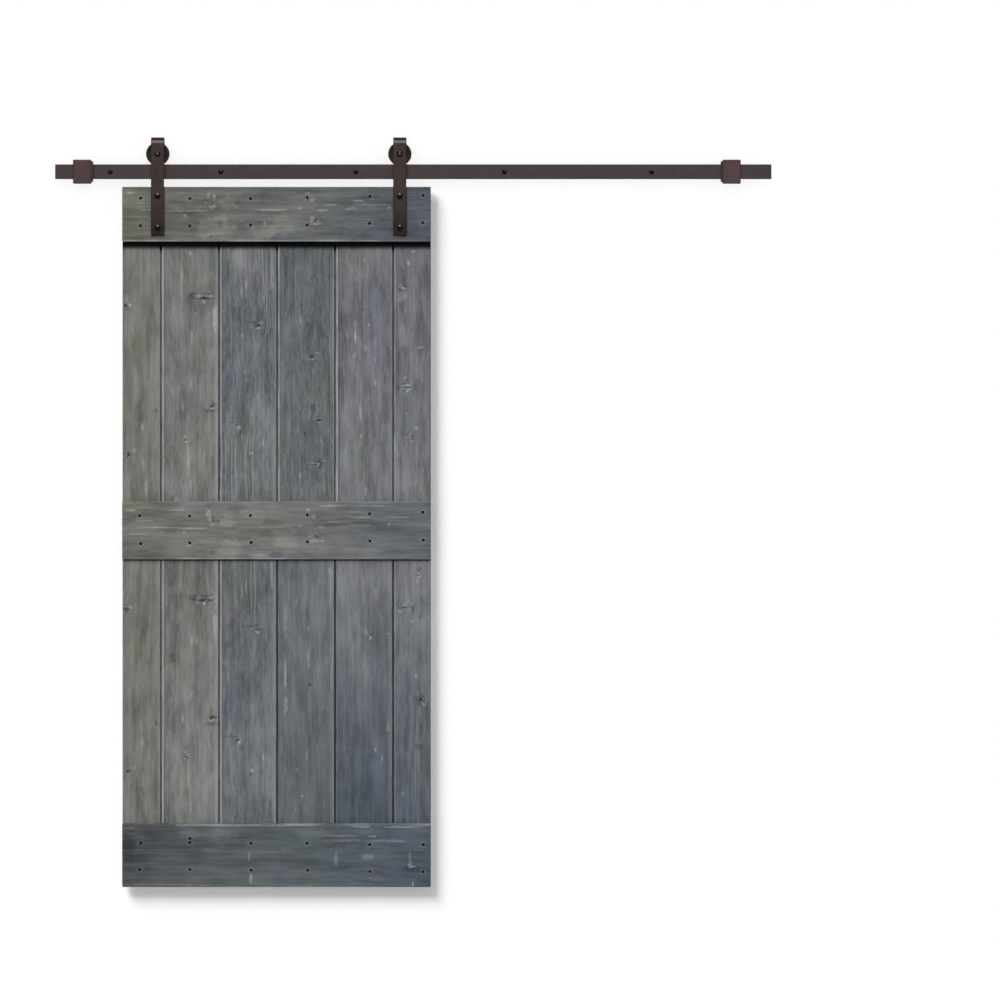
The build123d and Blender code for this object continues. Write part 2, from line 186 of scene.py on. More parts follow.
LAG_HEAD_HEIGHT = 0.0055
LAG_TIP_LENGTH = 0.008
LAG_TIP_RADIUS = 0.0008
LAG_SHANK_IN_WALL = 0.002
LAG_POINT_SHARE = 0.4  # the flat of the point against the tip
THREAD_STEPS = 8  # places along one turn
THREAD_RIDGE = 0.26  # half a ridge's foot, against the pitch
THREAD_TIP_SHARE = 0.12
THREAD_EASE = 0.0003
WHEEL_GROOVE_DEPTH = 0.004
WHEEL_GROOVE_HALF = 0.004
WHEEL_FLARE = 0.001
WHEEL_RIM_WALL = 0.0045
WHEEL_WEB_RECESS = 0.0035
WHEEL_HUB_RADIUS = 0.018
WHEEL_HUB_RECESS = 0.001
WHEEL_CHAMFER = 0.0015
WHEEL_EASE = 0.0007
BEARING_BORE = 0.00505
BEARING_RING = 0.0022
BEARING_RECESS = 0.0006
BEARING_EASE = 0.0003
BEARING_FIT = 0.00005
SPACER_BORE = 0.0051
SPACER_LENGTH = 0.0097
SPACER_EASE = 0.0005
STANDOFF_BORE = 0.0045
STANDOFF_EASE = 0.0012
STOP_SLOT_HALF = 0.0228
STOP_ARM_DEPTH = 0.006
STOP_BODY_EASE = 0.002
STOP_BODY_STEP = 0.01
STOP_PAD_EASE = 0.0012
STOP_PAD_STEP = 0.002
STOP_END_EASE = 0.002  # at most
CLAMP_HEAD_HEIGHT = 0.0035
CLAMP_SCREW_RADIUS = 0.003
CLAMP_SOCKET_FLATS = 0.004
CLAMP_SOCKET_DEPTH = 0.0022
CLAMP_END_SHARE = 0.8  # the end of the shank against its radius
CLAMP_END_CHAMFER = 0.0006
BUTTON_CURVE = ((1, 0), (1, 0.4), (0.86, 0.8), (0.62, 1))  # in shares of the head's radius and height

# Stain tones, as sRGB
PALE_FIBRE = (158, 160, 157)
# also the painted highlights beside the joints, on right chamfers, along ledges' upper edges and on knot
# flecks
PALE_EDGE = (176, 179, 178)
PALE_OLIVE = (135, 136, 128)
PALE_GREY = (128, 130, 131)
OLIVE_GREY = (117, 117, 100)
ROSE_GREY = (126, 118, 114)
MIST_GREY = (105, 112, 112)
TEAL_GREY = (92, 104, 105)
BLUE_GREY = (91, 97, 107)
VIOLET_GREY = (97, 98, 112)
# also the painted shade line beside the joints
DARK_FIBRE = (58, 61, 64)
DARK_END = (52, 57, 60)
KNOT_BROWN = (40, 40, 42)
# also painted shade on the walls of the nail holes
JOINT_BLACK = (22, 24, 28)
# painted shade under the top and middle ledges
LEDGE_SHADE = (5, 5, 6)
END_GRAIN = (92, 90, 84)

# Tints that a stain is multiplied by
WARM_TINT = (1.05, 1.04, 0.92, 1)
COOL_TINT = (0.95, 0.97, 1.05, 1)
VIOLET_TINT = (1.02, 0.97, 1.04, 1)

# Hardware tones, as sRGB
TRACK_BRONZE = (68, 58, 59)
STRAP_BRONZE = (62, 51, 49)
STOP_BRONZE = (76, 60, 62)
BRONZE_WORN = (112, 92, 88)
BRONZE_DARK = (34, 26, 26)
STEEL_BLACK = (6, 4, 4)
STEEL_WORN = (112, 104, 102)
# the tone of the painted highlight on the bolt heads
PAINTED_GLINT = (150, 138, 136)
WHEEL_BLACK = (46, 34, 35)
GROUND_STEEL = (172, 172, 170)
RUBBER_BLACK = (48, 42, 41)
NAIL_IRON = (14, 13, 13)

# Surfaces of the hardware: the coats of its metal pieces, then bright steel and rubber
MOTTLING = 0.08
COAT_FIELDS = "tone worn roughness specular metallic wear_share mottling dim_end"
Coat = namedtuple("Coat", COAT_FIELDS, defaults=(MOTTLING, None))
COATS = {
    "nail_iron": Coat(NAIL_IRON, STEEL_WORN, 0.6, 0.2, 0.0, 0.2),
    "track_bronze": Coat(TRACK_BRONZE, BRONZE_WORN, 0.42, 0.2, 0.7, 0.5, 0.03),
    "strap_bronze": Coat(STRAP_BRONZE, BRONZE_WORN, 0.38, 0.2, 0.7, 0.5, dim_end=STRAP_DIM_HEIGHTS),
    "stop_bronze": Coat(STOP_BRONZE, BRONZE_WORN, 0.42, 0.2, 0.7, 0.5),
    "black_oxide": Coat(STEEL_BLACK, STEEL_WORN, 0.22, 0.1, 0.0, 0.15),
    "wheel_black": Coat(WHEEL_BLACK, STEEL_WORN, 0.42, 0.2, 0.6, 0.3),
}
DIM_SHARE = 0.5  # of its brightness that a strap keeps at its dim end
MOTTLE_CUT = (0.3, 0.7)
SPECKLE_CUT = (0.60, 0.76)
SPECKLE_SHARE = 0.10
SPECKLE_HEIGHT = 0.6
DARK_EDGE_SHARE = 0.6
RUBBED_CUT = (0.48, 0.64)
RUBBED_GLOSS = -0.05
GLOSS_SWING = 0.06
COAT_BUMP = 0.0001
STEEL_ROUGHNESS = (0.22, 0.42)
STEEL_BUMP = 0.00006
STEEL_SPECULAR = 0.5
BLOOM_CUT = (0.45, 0.75)
BLOOM_SHARE = 0.3
RUBBER_ROUGHNESS = (0.72, 0.9)
RUBBER_BUMP = 0.0002
RUBBER_SPECULAR = 0.25

# Noise on the hardware and on sawn ends: cells to the metre and detail
MOTTLE_NOISE = (32.0, 4)
SPECKLE_NOISE = (420.0, 3)
PEEL_NOISE = (1100.0, 2)
RUBBED_NOISE = (90.0, 4)
STEEL_NOISE = (60.0, 3)
SCRATCH_NOISE = (900.0, 2)
BLOOM_NOISE = (45.0, 4)
PIT_NOISE = (700.0, 3)
END_GRAIN_NOISE = (40.0, 3)

# Noise in the wood: cells to the metre across and along a board, a seed of its own and its detail
Noise = namedtuple("Noise", "scale seed detail", defaults=(2.0,))
DRIFT_NOISE = Noise((5, 1.1), 0)
WANDER_NOISE = Noise((18, 5.5), 1)
SIDEWAYS_NOISE = Noise((70, 60), 2)
LENGTHWAYS_NOISE = Noise((60, 70), 3)
TINTS = (
    (WARM_TINT, Noise((8, 3.4), 4, 3)),
    (COOL_TINT, Noise((9, 3.0), 4.3, 3)),
    (VIOLET_TINT, Noise((14, 4.5), 4.6, 3)),
)
BAND_NOISE = Noise((22, 1.4), 6)
STREAK_NOISE = Noise((75, 5.5), 7, 3)
DASH_NOISE = Noise((230, 28), 8)
FIBRE_NOISE = Noise((480, 45), 9, 1)
GATHER_NOISE = Noise((24, 1.6), 10)
LINE_NOISE = Noise((170, 3.0), 11, 1)
PALE_DASH_NOISE = Noise((190, 26), 12, 1)
WISP_NOISE = Noise((40, 170), 13)
RIM_NOISE = Noise((150, 110), 13)
WEAR_NOISE = Noise((60, 14), 14, 3)
CLOUD_NOISE = Noise((9, 4), 15, 3)
DARK_DASH_NOISE = Noise((200, 30), 16, 1)
PLANK_EDGE_NOISE = Noise((40, 11), 17, 3)
LEDGE_EDGE_NOISE = Noise((30, 7), 17, 3)
PATCH_NOISE = Noise((26, 12), 18, 3)
CLUSTER_NOISE = Noise((11, 5), 19)
PLANK_STRETCH_NOISE = Noise((6, 3.2), 20)
LEDGE_STRETCH_NOISE = Noise((4, 5), 20)
CRUMBLE_NOISE = Noise((300, 300), 21)
SWAY_NOISES = (Noise((48, 48), 30, 3), Noise((48, 48), 32, 3))
SEED_STEPS = (0.37, 1.7)  # how far noise is moved along and in depth for each seed
PLANK_SEED_STEP = 20
LEDGE_FIRST_SEED = 211
LEDGE_SEED_STEP = 20

# Between which levels that noise makes no mark or a full one, and the range that some of it is spread over
SWING_CUT = (0.34, 0.66)
TINT_CUT = (0.50, 0.64)
CRUMBLE_CUT = (0.36, 0.60)
CRUMBLE_RANGE = (0.60, 1.15)
WEAR_CUT = (0.36, 0.58)
GATHER_CUT = (0.44, 0.60)
LINE_CUT = (0.60, 0.70)
CLUSTER_CUT = (0.42, 0.62)
DASH_CUT = (0.63, 0.74)
DARK_WISP_CUT = (0.36, 0.46)
PALE_WISP_CUT = (0.55, 0.66)
RIM_CUT = (0.38, 0.56)
PLANK_EDGE_CUT = (0.3, 0.6)
PLANK_EDGE_RANGE = (0.45, 1.0)
PLANK_STRETCH_CUT = (0.40, 0.60)
PLANK_STRETCH_RANGE = (0.4, 1.0)
LEDGE_EDGE_CUT = (0.38, 0.6)
LEDGE_EDGE_RANGE = (0.25, 1.0)
LEDGE_STRETCH_CUT = (0.42, 0.58)
LEDGE_STRETCH_RANGE = (0.15, 1.0)

# How strong each mark in the wood is, from 0 to 1, or how far it swings the light
TINT_SHARE = 0.4
WEAR_SHARE = 0.35
NAIL_RIM_SHARE = 0.22
NAIL_HOLE_SHARE = 0.9
CLOUD_LIGHT = 0.10
PATCH_LIGHT = 0.11
BAND_LIGHT = 0.08
STREAK_LIGHT = 0.13
DASH_LIGHT = 0.14
FIBRE_LIGHT = 0.11
DARK_LINE_SHARE = 0.40
PALE_LINE_SHARE = 0.45
DARK_DASH_SHARE = 0.32
PALE_DASH_SHARE = 0.50
DARK_WISP_SHARE = 0.55
PALE_WISP_SHARE = 0.50
PLANK_CORE_SHARE = 0.75
PLANK_FLECK_SHARE = 0.75
LEDGE_HALO_SHARE = 0.18
LEDGE_RIM_SHARE = 0.55
LEDGE_CORE_SHARE = 0.30
LEDGE_FLECK_SHARE = 0.35

# How the grain runs, and the form of spots, knots and sawn ends, most of it in shares of their own size
GRAIN_DRIFT = 0.018
GRAIN_WANDER = 0.008
PLANK_KNOT_SWAY = 0.014
LEDGE_KNOT_SWAY = 0.006
SPOT_SWAY = 0.9
SPOT_FALL = (0.60, 1.35)
DARK_LINE_SHIFT = 0.5  # from each pale fibre to the dark line beside it, in cells
KNOT_FLATTEN = 0.6
FLECK_FLATTEN = 0.7
# a knot's pale fleck, set off below it, is partly pale wood, partly a painted highlight that gives the knot
# relief
FLECK_OFFSET = 0.8
KNOT_PUSH_FALL = (1.0, 6.0)
KNOT_CORE = (0.18, 0.50)
KNOT_FLECK = (0.12, 0.42)
KNOT_REGION = (0.5, 2.2)
KNOT_RIM = (0.50, 0.70, 0.20)
KNOT_HALO = (0.90, 1.40, 0.50)
END_GRAIN_STRETCH = (2.0, 9.0)  # across a board and through it
END_FACING = (0.6, 0.8)

# The relief that the wood's shader adds, and its gloss
STREAK_HEIGHT = 0.7
DASH_HEIGHT = 0.6
FIBRE_HEIGHT = 0.25
KNOT_HEIGHT = -0.4
WOOD_BUMP = 0.0009
WOOD_ROUGHNESS = (0.95, 0.62)
WOOD_SPECULAR = 0.06

# Lines along a board's edges, in metres: where a line starts, ends and fades, or where a tone fades out
EDGE_SWAY = 0.0018
# the pale joint line is partly pale worn wood, partly a painted highlight of a lit chamfer
JOINT_LINE = (0.0052, 0.0088, 0.0016)
# the dark line beyond it is painted shade at the chamfer's edge
JOINT_SHADE = (0.0108, 0.0142, 0.0018)
JOINT_SHADE_SHARE = 0.45
GROOVE_FALL = (0.0026, 0.0048)
GROOVE_BLACK = (0.85, 0.32)  # beside no pale line and beside a full one
JOINT_SIDE_FALL = (0.008, 0.010)
LEFT_JOINT_FALL = (0.003, 0.006)
RIGHT_JOINT_FALL = (0.001, 0.003)
FADING_FALL = (0.006, 0.016)
# painted light on a plank's right chamfer, which the key lamp leaves in shade
PAINTED_LIGHT_FALL = (0.0032, 0.0044)
PAINTED_LIGHT_SHARE = 0.35
LOWER_LINE = (0.0012, 0.0046, 0.0014)
# the upper line is partly pale worn wood, partly a painted highlight where the upper edge catches the light
UPPER_LINE = (0.0004, 0.0066, 0.0020)

# Painted shade on the planks: a band under the top ledge, which reaches further down in the joints, and a
# thin line under the middle one
SHADE_SWAY = 0.002
SHADE_FALL = (0.0120, 0.0300)
SHADE_SHARE = 0.985
SHADE_IN_JOINT = 0.008
THIN_SHADE_FALL = (0.0026, 0.0050)
THIN_SHADE_SHARE = 0.95
FRONT_FALL = (2.6, 3.2)  # how deep a plank's front reaches, in chamfers

# One mark on a board, in pixels of the photograph: a place, half a size each way and a strength from 0 to 1
Spot = namedtuple("Spot", "column row half_width half_height share")

# A board's looks:
# tones, its stain at the start, in the middle and at the end, from the top or from the left
# lines, how strong its grain lines are above and below the middle ledge
# blotch, how strong its blotches are
# pale_lines, for a plank its pale left edge above and below the middle ledge, its pale right edge, and how
# black that edge's joint is below the middle ledge; for a ledge its pale lower and upper edges
# pale and dark, its marks in those tones
# tinted, its patches of another tone
# knots, each knot's column and row in pixels, and its radius in metres
Board = namedtuple("Board", "tones lines blotch pale_lines pale dark tinted knots")
BOARDS = {
    "plank_1": Board(
        ((118, 119, 113), (117, 118, 113), (121, 121, 119)), (0.45, 0.45), 1.0, (0.0, 0.0, 0.15, 0.0),
        [
            Spot(129.5, 304.7, 2.4, 2.0, 0.8), Spot(126.6, 298, 1.6, 4, 0.4), Spot(142, 427, 1.1, 4, 0.6),
            Spot(142.5, 462, 1.2, 7, 0.5), Spot(133.7, 450.8, 1.6, 2.5, 0.5), Spot(146, 488, 1.2, 7, 0.45),
        ],
        [Spot(125, 306.4, 2.6, 3, 0.8), Spot(127.9, 454, 2, 1.6, 0.8), Spot(156, 409.8, 1.5, 3, 0.45)],
        [
            (TEAL_GREY, Spot(156.5, 258, 5, 9, 0.5)), (PALE_GREY, Spot(136, 265, 5, 9, 0.4)),
            (OLIVE_GREY, Spot(139.5, 345, 8, 10, 0.5)),
        ],
        [(125, 306, 0.008), (128, 454, 0.006)],
    ),
    "plank_2": Board(
        ((111, 113, 111), (121, 121, 118), (120, 122, 121)), (0.6, 0.45), 1.25, (0.62, 0.62, 0.5, 0.0),
        [
            Spot(181.4, 281, 1.2, 22, 0.4), Spot(190, 253.3, 1.6, 1.5, 0.5), Spot(198.4, 295.6, 2.2, 2, 0.6),
            Spot(211, 296.4, 2.2, 1.3, 0.55), Spot(215.2, 320, 2.6, 13, 0.75),
            Spot(191.3, 335.4, 1.2, 5, 0.5),
            Spot(196.3, 335, 1.0, 4, 0.4), Spot(196.3, 313.8, 1.2, 3.5, 0.4), Spot(211, 407.7, 3.5, 1, 0.5),
            Spot(182.2, 406.5, 1.2, 4.5, 0.6), Spot(190.5, 385, 1.0, 5, 0.5), Spot(171.4, 390, 1.0, 4, 0.4),
            Spot(183.8, 436.3, 2, 1.5, 0.45), Spot(188, 459, 1.1, 13, 0.7), Spot(190.5, 486, 1.2, 6, 0.6),
        ],
        [
            Spot(192, 295.6, 4, 4, 0.5), Spot(206, 298.5, 8, 1.3, 0.7), Spot(209, 294, 6, 1, 0.45),
            Spot(171.6, 351, 3, 5, 0.35), Spot(213.7, 404.8, 4, 1.5, 0.8), Spot(210.5, 410.6, 7, 1.8, 0.45),
            Spot(185.5, 441.3, 2, 1.8, 0.6),
        ],
        [
            (MIST_GREY, Spot(207, 262, 9, 10, 0.5)), (VIOLET_GREY, Spot(174, 299, 6, 8, 0.25)),
            (ROSE_GREY, Spot(175.5, 460, 7, 16, 0.55)), (MIST_GREY, Spot(199, 406, 5, 5, 0.5)),
        ],
        [(203, 298, 0.012), (211, 406, 0.009), (185, 441, 0.006)],
    ),
    "plank_3": Board(
        ((110, 113, 116), (106, 109, 112), (113, 117, 121)), (0.9, 0.6), 1.25, (0.45, 0.45, 0.3, 0.3),
        [
            Spot(271.4, 270, 1.2, 21, 0.5), Spot(246, 285.5, 0.9, 6, 0.5), Spot(241.5, 291, 0.9, 7, 0.45),
            Spot(258, 328, 1.8, 1.3, 0.85), Spot(242.4, 335.4, 1.2, 2.5, 0.55),
            Spot(239, 427.2, 1.4, 1.3, 0.85),
            Spot(251.5, 453, 2, 1.4, 0.65), Spot(263, 442, 0.9, 3, 0.6),
        ],
        [
            Spot(258.5, 325.4, 2.4, 1.1, 0.9), Spot(253, 322, 7, 1.5, 0.4), Spot(227, 339.5, 3, 4, 0.35),
            Spot(230.5, 422.2, 7, 0.9, 0.4), Spot(237, 426, 1.7, 1.6, 0.9), Spot(241, 432.6, 3, 2.5, 0.3),
            Spot(250.7, 457, 2.5, 1.8, 0.4),
        ],
        [
            (PALE_OLIVE, Spot(236, 260, 11, 9, 0.3)), (PALE_GREY, Spot(255, 344, 3.5, 13, 0.5)),
            (BLUE_GREY, Spot(235.5, 394, 13, 25, 0.4)), (PALE_GREY, Spot(256, 407, 6, 21, 0.4)),
        ],
        [(257, 325, 0.008), (237, 426, 0.005)],
    ),
    "plank_4": Board(
        ((99, 103, 106), (108, 112, 114), (92, 96, 101)), (0.85, 0.4), 0.9, (0.5, 0.0, 0.25, 0.4),
        [
            Spot(314.5, 280.7, 1.0, 2, 0.4), Spot(317, 352.8, 2, 1.5, 0.45), Spot(300.4, 319.6, 1, 4, 0.45),
            Spot(299.6, 477.8, 1, 5, 0.4), Spot(330, 582, 2, 22, 0.4), Spot(285.2, 619, 2, 14, 0.4),
            Spot(296.4, 602, 1.2, 4, 0.3), Spot(307.7, 630, 0.9, 3, 0.4), Spot(285.2, 674, 1.2, 14, 0.5),
            Spot(285.2, 706, 2.5, 8, 0.45), Spot(308.2, 660, 1.3, 14, 0.35), Spot(307.1, 755, 0.8, 5, 0.4),
            Spot(296.4, 769.6, 0.8, 2, 0.5), Spot(302, 796, 1.2, 1.5, 0.5), Spot(331.6, 673, 1.2, 24, 0.35),
        ],
        [
            Spot(315, 280, 3.5, 3.5, 0.4), Spot(311.2, 357, 3, 3, 0.5), Spot(307, 324.6, 0.9, 5, 0.5),
            Spot(301.2, 304.7, 1.5, 2, 0.45), Spot(281.3, 305, 1, 10, 0.4), Spot(312.8, 407.3, 3, 4, 0.45),
            Spot(319, 419.7, 2.5, 4, 0.6), Spot(304.6, 433.8, 1.1, 1.1, 0.8), Spot(317.8, 462.9, 4, 5, 0.5),
            Spot(302, 482.8, 1, 6, 0.4), Spot(309.7, 684.9, 1.7, 1.4, 0.9), Spot(298, 603, 1, 4, 0.3),
            Spot(316.3, 739, 1.2, 3, 0.5),
        ],
        [
            (OLIVE_GREY, Spot(284, 445, 4, 9, 0.35)), (OLIVE_GREY, Spot(282, 486, 3, 9, 0.35)),
            (VIOLET_GREY, Spot(325, 306.8, 3, 3, 0.5)), (VIOLET_GREY, Spot(325, 461, 2.4, 3, 0.5)),
            (BLUE_GREY, Spot(279.5, 720, 3, 90, 0.5)), (TEAL_GREY, Spot(325, 262, 7, 25, 0.3)),
        ],
        [(312, 279, 0.006), (311, 357, 0.009), (318, 420, 0.008), (318, 463, 0.009)],
    ),
    "plank_5": Board(
        ((110, 111, 114), (116, 118, 122), (77, 86, 97)), (0.6, 0.3), 1.0, (0.7, 0.1, 0.15, 0.4),
        [
            Spot(355.3, 324.6, 1.0, 5, 0.8), Spot(355.3, 336, 1.1, 6.5, 0.9), Spot(368.6, 324.6, 1, 1.5, 0.5),
            Spot(354.5, 355.3, 2, 3, 0.45), Spot(375.2, 359.4, 1, 2, 0.4), Spot(365.3, 347, 1.2, 4, 0.4),
            Spot(360.3, 411.5, 1.1, 9, 0.65), Spot(360.7, 436.3, 1, 2, 0.8), Spot(365.3, 491, 1.2, 5, 0.6),
            Spot(376.5, 417, 0.8, 4, 0.4), Spot(375.2, 383.3, 0.9, 3, 0.5), Spot(376, 595, 1.2, 6, 0.3),
            Spot(365.8, 632, 1.2, 4, 0.5), Spot(370.4, 638, 1.2, 2, 0.9), Spot(388.3, 633.9, 2.5, 0.8, 0.45),
            Spot(375.5, 749.7, 0.8, 2, 0.7), Spot(382, 758.9, 0.9, 2.5, 0.4), Spot(387.8, 726.7, 1.2, 6, 0.3),
        ],
        [
            Spot(362.8, 308.8, 1.2, 2.2, 0.6), Spot(380.2, 288.5, 1.2, 2, 0.4), Spot(371, 634, 1.5, 1.5, 0.5),
            Spot(387.2, 732.9, 1.2, 1.3, 0.5), Spot(375, 757.3, 15, 1.2, 0.2),
        ],
        [
            (PALE_GREY, Spot(354, 270, 5, 12, 0.5)), (PALE_GREY, Spot(356, 327, 5.5, 50, 0.45)),
            (PALE_GREY, Spot(360, 384, 7, 14, 0.5)), (VIOLET_GREY, Spot(376, 330, 14, 45, 0.35)),
            (VIOLET_GREY, Spot(388.5, 357, 3.5, 9, 0.6)), (MIST_GREY, Spot(351, 458, 6, 8, 0.45)),
            (PALE_GREY, Spot(362.8, 592, 2, 17, 0.35)), (VIOLET_GREY, Spot(387, 620, 5, 30, 0.45)),
            (PALE_GREY, Spot(364.8, 668, 3, 24, 0.3)), (VIOLET_GREY, Spot(380.6, 675, 10, 36, 0.35)),
        ],
        [(358, 330, 0.004)],
    ),
    "plank_6": Board(
        ((103, 105, 110), (119, 121, 126), (86, 94, 104)), (0.6, 0.4), 1.0, (0.3, 0.1, 0.0, 0.0),
        [
            Spot(408.4, 262.8, 1, 2.5, 0.7), Spot(413.4, 250.8, 2, 1.2, 0.8), Spot(405, 309.7, 1, 3.5, 0.5),
            Spot(420, 347.5, 2.6, 1.2, 0.6), Spot(408.4, 385.3, 4, 1, 0.7), Spot(405, 377.5, 2, 1.2, 0.5),
            Spot(407, 413, 1.2, 1, 0.7), Spot(410, 436.3, 1.2, 2.8, 0.8), Spot(411.7, 441.3, 2, 1.2, 0.6),
            Spot(416.7, 428, 2.5, 1.5, 0.5), Spot(423.3, 471, 0.9, 3, 0.5), Spot(418.9, 574.7, 1.5, 2.5, 0.8),
            Spot(416.8, 580.8, 0.8, 3, 0.5), Spot(422, 592, 0.9, 4, 0.45), Spot(400, 611.4, 2, 1.5, 0.9),
            Spot(404.6, 605.3, 2.5, 1.5, 0.6), Spot(412.2, 603.8, 1.2, 1.5, 0.75),
            Spot(412.2, 621.6, 2, 1.5, 0.5),
            Spot(423, 704.3, 1.2, 1.5, 0.85), Spot(417.3, 693, 1, 3, 0.4), Spot(419.9, 711.4, 1, 5, 0.4),
            Spot(418.4, 762, 1.2, 12, 0.35), Spot(415.8, 675.7, 1.2, 3, 0.5), Spot(402.6, 793.6, 1, 2, 0.5),
        ],
        [
            Spot(403.5, 280, 4, 9, 0.35), Spot(401, 289.4, 3, 1.8, 0.5), Spot(421, 350, 3, 1.3, 0.5),
            Spot(398.4, 386.6, 2, 3, 0.5), Spot(421.6, 410.6, 1.2, 1.8, 0.5), Spot(412.5, 437, 1.2, 3, 0.6),
            Spot(400, 460.4, 2, 5, 0.3), Spot(420, 569.6, 2.5, 3, 0.4), Spot(412.8, 609.4, 1.2, 2, 0.5),
            Spot(419.9, 617.5, 1.5, 3, 0.35), Spot(422, 699, 3, 5, 0.5), Spot(421, 729.8, 1.5, 7, 0.4),
            Spot(417.9, 747, 4, 3, 0.4),
        ],
        [
            (PALE_GREY, Spot(403, 297, 5, 4.5, 0.6)), (PALE_GREY, Spot(402, 336, 4, 13, 0.5)),
            (VIOLET_GREY, Spot(418, 331, 7, 12, 0.5)), (VIOLET_GREY, Spot(405.5, 350, 5, 2.5, 0.5)),
            (PALE_GREY, Spot(407.5, 365, 6, 10, 0.4)), (TEAL_GREY, Spot(407.5, 390, 4, 2, 0.6)),
            (VIOLET_GREY, Spot(419, 386, 6, 8, 0.4)), (VIOLET_GREY, Spot(421, 608, 9, 10, 0.5)),
            (TEAL_GREY, Spot(423, 660, 7, 8, 0.5)), (VIOLET_GREY, Spot(402.6, 705, 7, 13, 0.45)),
        ],
        [
            (403, 285, 0.008), (421, 349, 0.006), (408, 387, 0.010), (411, 437, 0.007), (418, 576, 0.006),
            (405, 607, 0.008), (422, 700, 0.009),
        ],
    ),
    "top_ledge": Board(
        ((111, 110, 102), (107, 109, 107), (85, 90, 97)), (0.38, 0.38), 1.0, (0.5, 0.0),
        [
            Spot(131, 192.8, 5, 0.9, 0.55), Spot(145.5, 209.8, 6, 0.8, 0.6), Spot(144, 203.3, 7, 0.7, 0.35),
            Spot(139, 216.7, 11, 0.7, 0.4), Spot(134, 222.7, 6, 0.7, 0.4), Spot(187.5, 210.7, 22, 0.9, 0.75),
            Spot(182.5, 192.7, 5, 0.7, 0.45), Spot(185, 215.5, 1.6, 1.3, 0.85),
            Spot(208.5, 195.5, 1.6, 3, 0.55),
            Spot(214, 196, 1.5, 2, 0.8), Spot(212.5, 206, 3, 2, 0.45), Spot(269, 209.6, 15, 0.9, 0.7),
            Spot(264.8, 223.3, 1.2, 2.5, 0.7), Spot(307.4, 192.9, 2.5, 1, 0.5), Spot(313.1, 199.2, 2, 2, 0.6),
            Spot(299, 208.7, 2.5, 1, 0.5), Spot(323, 210.3, 5, 1.2, 0.6), Spot(330, 204.8, 7.5, 0.8, 0.5),
            Spot(357.5, 200.6, 6.5, 0.8, 0.5), Spot(376, 204.7, 17, 0.7, 0.4), Spot(351, 208.7, 6, 1.5, 0.4),
            Spot(389, 207.6, 1.5, 1, 0.6), Spot(316.5, 223.8, 6, 1.2, 0.6), Spot(312, 218.5, 2, 2.5, 0.5),
        ],
        [
            Spot(237.5, 202.7, 3.5, 1.2, 0.4), Spot(220, 223.4, 2.5, 4, 0.35), Spot(268, 213, 14, 0.9, 0.3),
            Spot(316.3, 219.7, 3, 1.5, 0.6), Spot(363, 198.2, 7, 0.8, 0.35), Spot(188, 213, 21, 0.8, 0.3),
            Spot(211, 237, 2, 2, 0.5), Spot(187, 233, 10, 5, 0.2), Spot(256, 195, 15, 3, 0.2),
        ],
        [
            (OLIVE_GREY, Spot(141, 209, 9, 8, 0.5)), (PALE_OLIVE, Spot(229, 201.5, 9, 6.5, 0.8)),
            (OLIVE_GREY, Spot(136, 191, 14, 4, 0.6)),
            (PALE_OLIVE, Spot(216, 227, 19, 11, 0.7)), (PALE_OLIVE, Spot(262, 233, 15, 7, 0.5)),
            (TEAL_GREY, Spot(207, 202.5, 4, 3, 0.65)), (BLUE_GREY, Spot(286, 237, 14, 4.5, 0.55)),
            (PALE_OLIVE, Spot(282, 226, 13, 12, 0.35)), (BLUE_GREY, Spot(364, 232, 28, 5, 0.4)),
            (BLUE_GREY, Spot(383, 212, 10, 7, 0.35)), (VIOLET_GREY, Spot(414, 195.5, 4, 3, 0.4)),
            (TEAL_GREY, Spot(421, 210, 9, 5, 0.4)),
        ],
        [(212, 203, 0.007), (308, 200, 0.005), (316, 220, 0.006)],
    ),
    "middle_ledge": Board(
        ((112, 113, 107), (116, 117, 115), (97, 101, 106)), (0.38, 0.38), 1.0, (0.5, 0.1),
        [
            Spot(131.5, 510.2, 4.5, 0.9, 0.65), Spot(174, 510, 11, 0.7, 0.4), Spot(145, 520.6, 8.5, 0.8, 0.5),
            Spot(157, 527.2, 18, 0.8, 0.65), Spot(192, 528.2, 18, 0.9, 0.7), Spot(139, 534, 11, 0.8, 0.4),
            Spot(184.5, 532.7, 1.8, 1, 0.85), Spot(188.9, 545.4, 3, 0.7, 0.5),
            Spot(208.5, 513.5, 2.5, 3.5, 0.55),
            Spot(212, 524, 3, 2.3, 0.5), Spot(269, 527, 12, 1, 0.5), Spot(262, 547.7, 14, 1, 0.4),
            Spot(257, 555.5, 9, 2, 0.45), Spot(332, 505.7, 14, 1, 0.45), Spot(372, 506, 23, 0.8, 0.35),
            Spot(308.2, 510.2, 2, 1.3, 0.75), Spot(313.3, 516.9, 2, 2.5, 0.65), Spot(300, 526, 2.5, 1.2, 0.5),
            Spot(320.9, 527, 3, 1.2, 0.6), Spot(333, 522, 8, 0.9, 0.5), Spot(362, 517.4, 10, 0.9, 0.5),
            Spot(397, 517.2, 11, 0.8, 0.4), Spot(358.5, 525.5, 12, 1.5, 0.4),
            Spot(388.8, 524.7, 1.5, 1.5, 0.7),
            Spot(315, 541, 7, 1.2, 0.6), Spot(310, 534.5, 3, 2, 0.45), Spot(323, 541, 2, 1.5, 0.6),
            Spot(358, 512, 9, 0.8, 0.35),
        ],
        [
            Spot(138, 536.3, 12, 0.8, 0.3), Spot(238, 508, 10, 3, 0.2), Spot(407, 519, 21, 0.8, 0.3),
            Spot(372, 523.3, 14, 0.8, 0.3), Spot(316.3, 536.8, 3, 1.3, 0.6), Spot(175, 530.6, 30, 0.7, 0.25),
            Spot(212, 552, 2, 2.5, 0.4),
        ],
        [
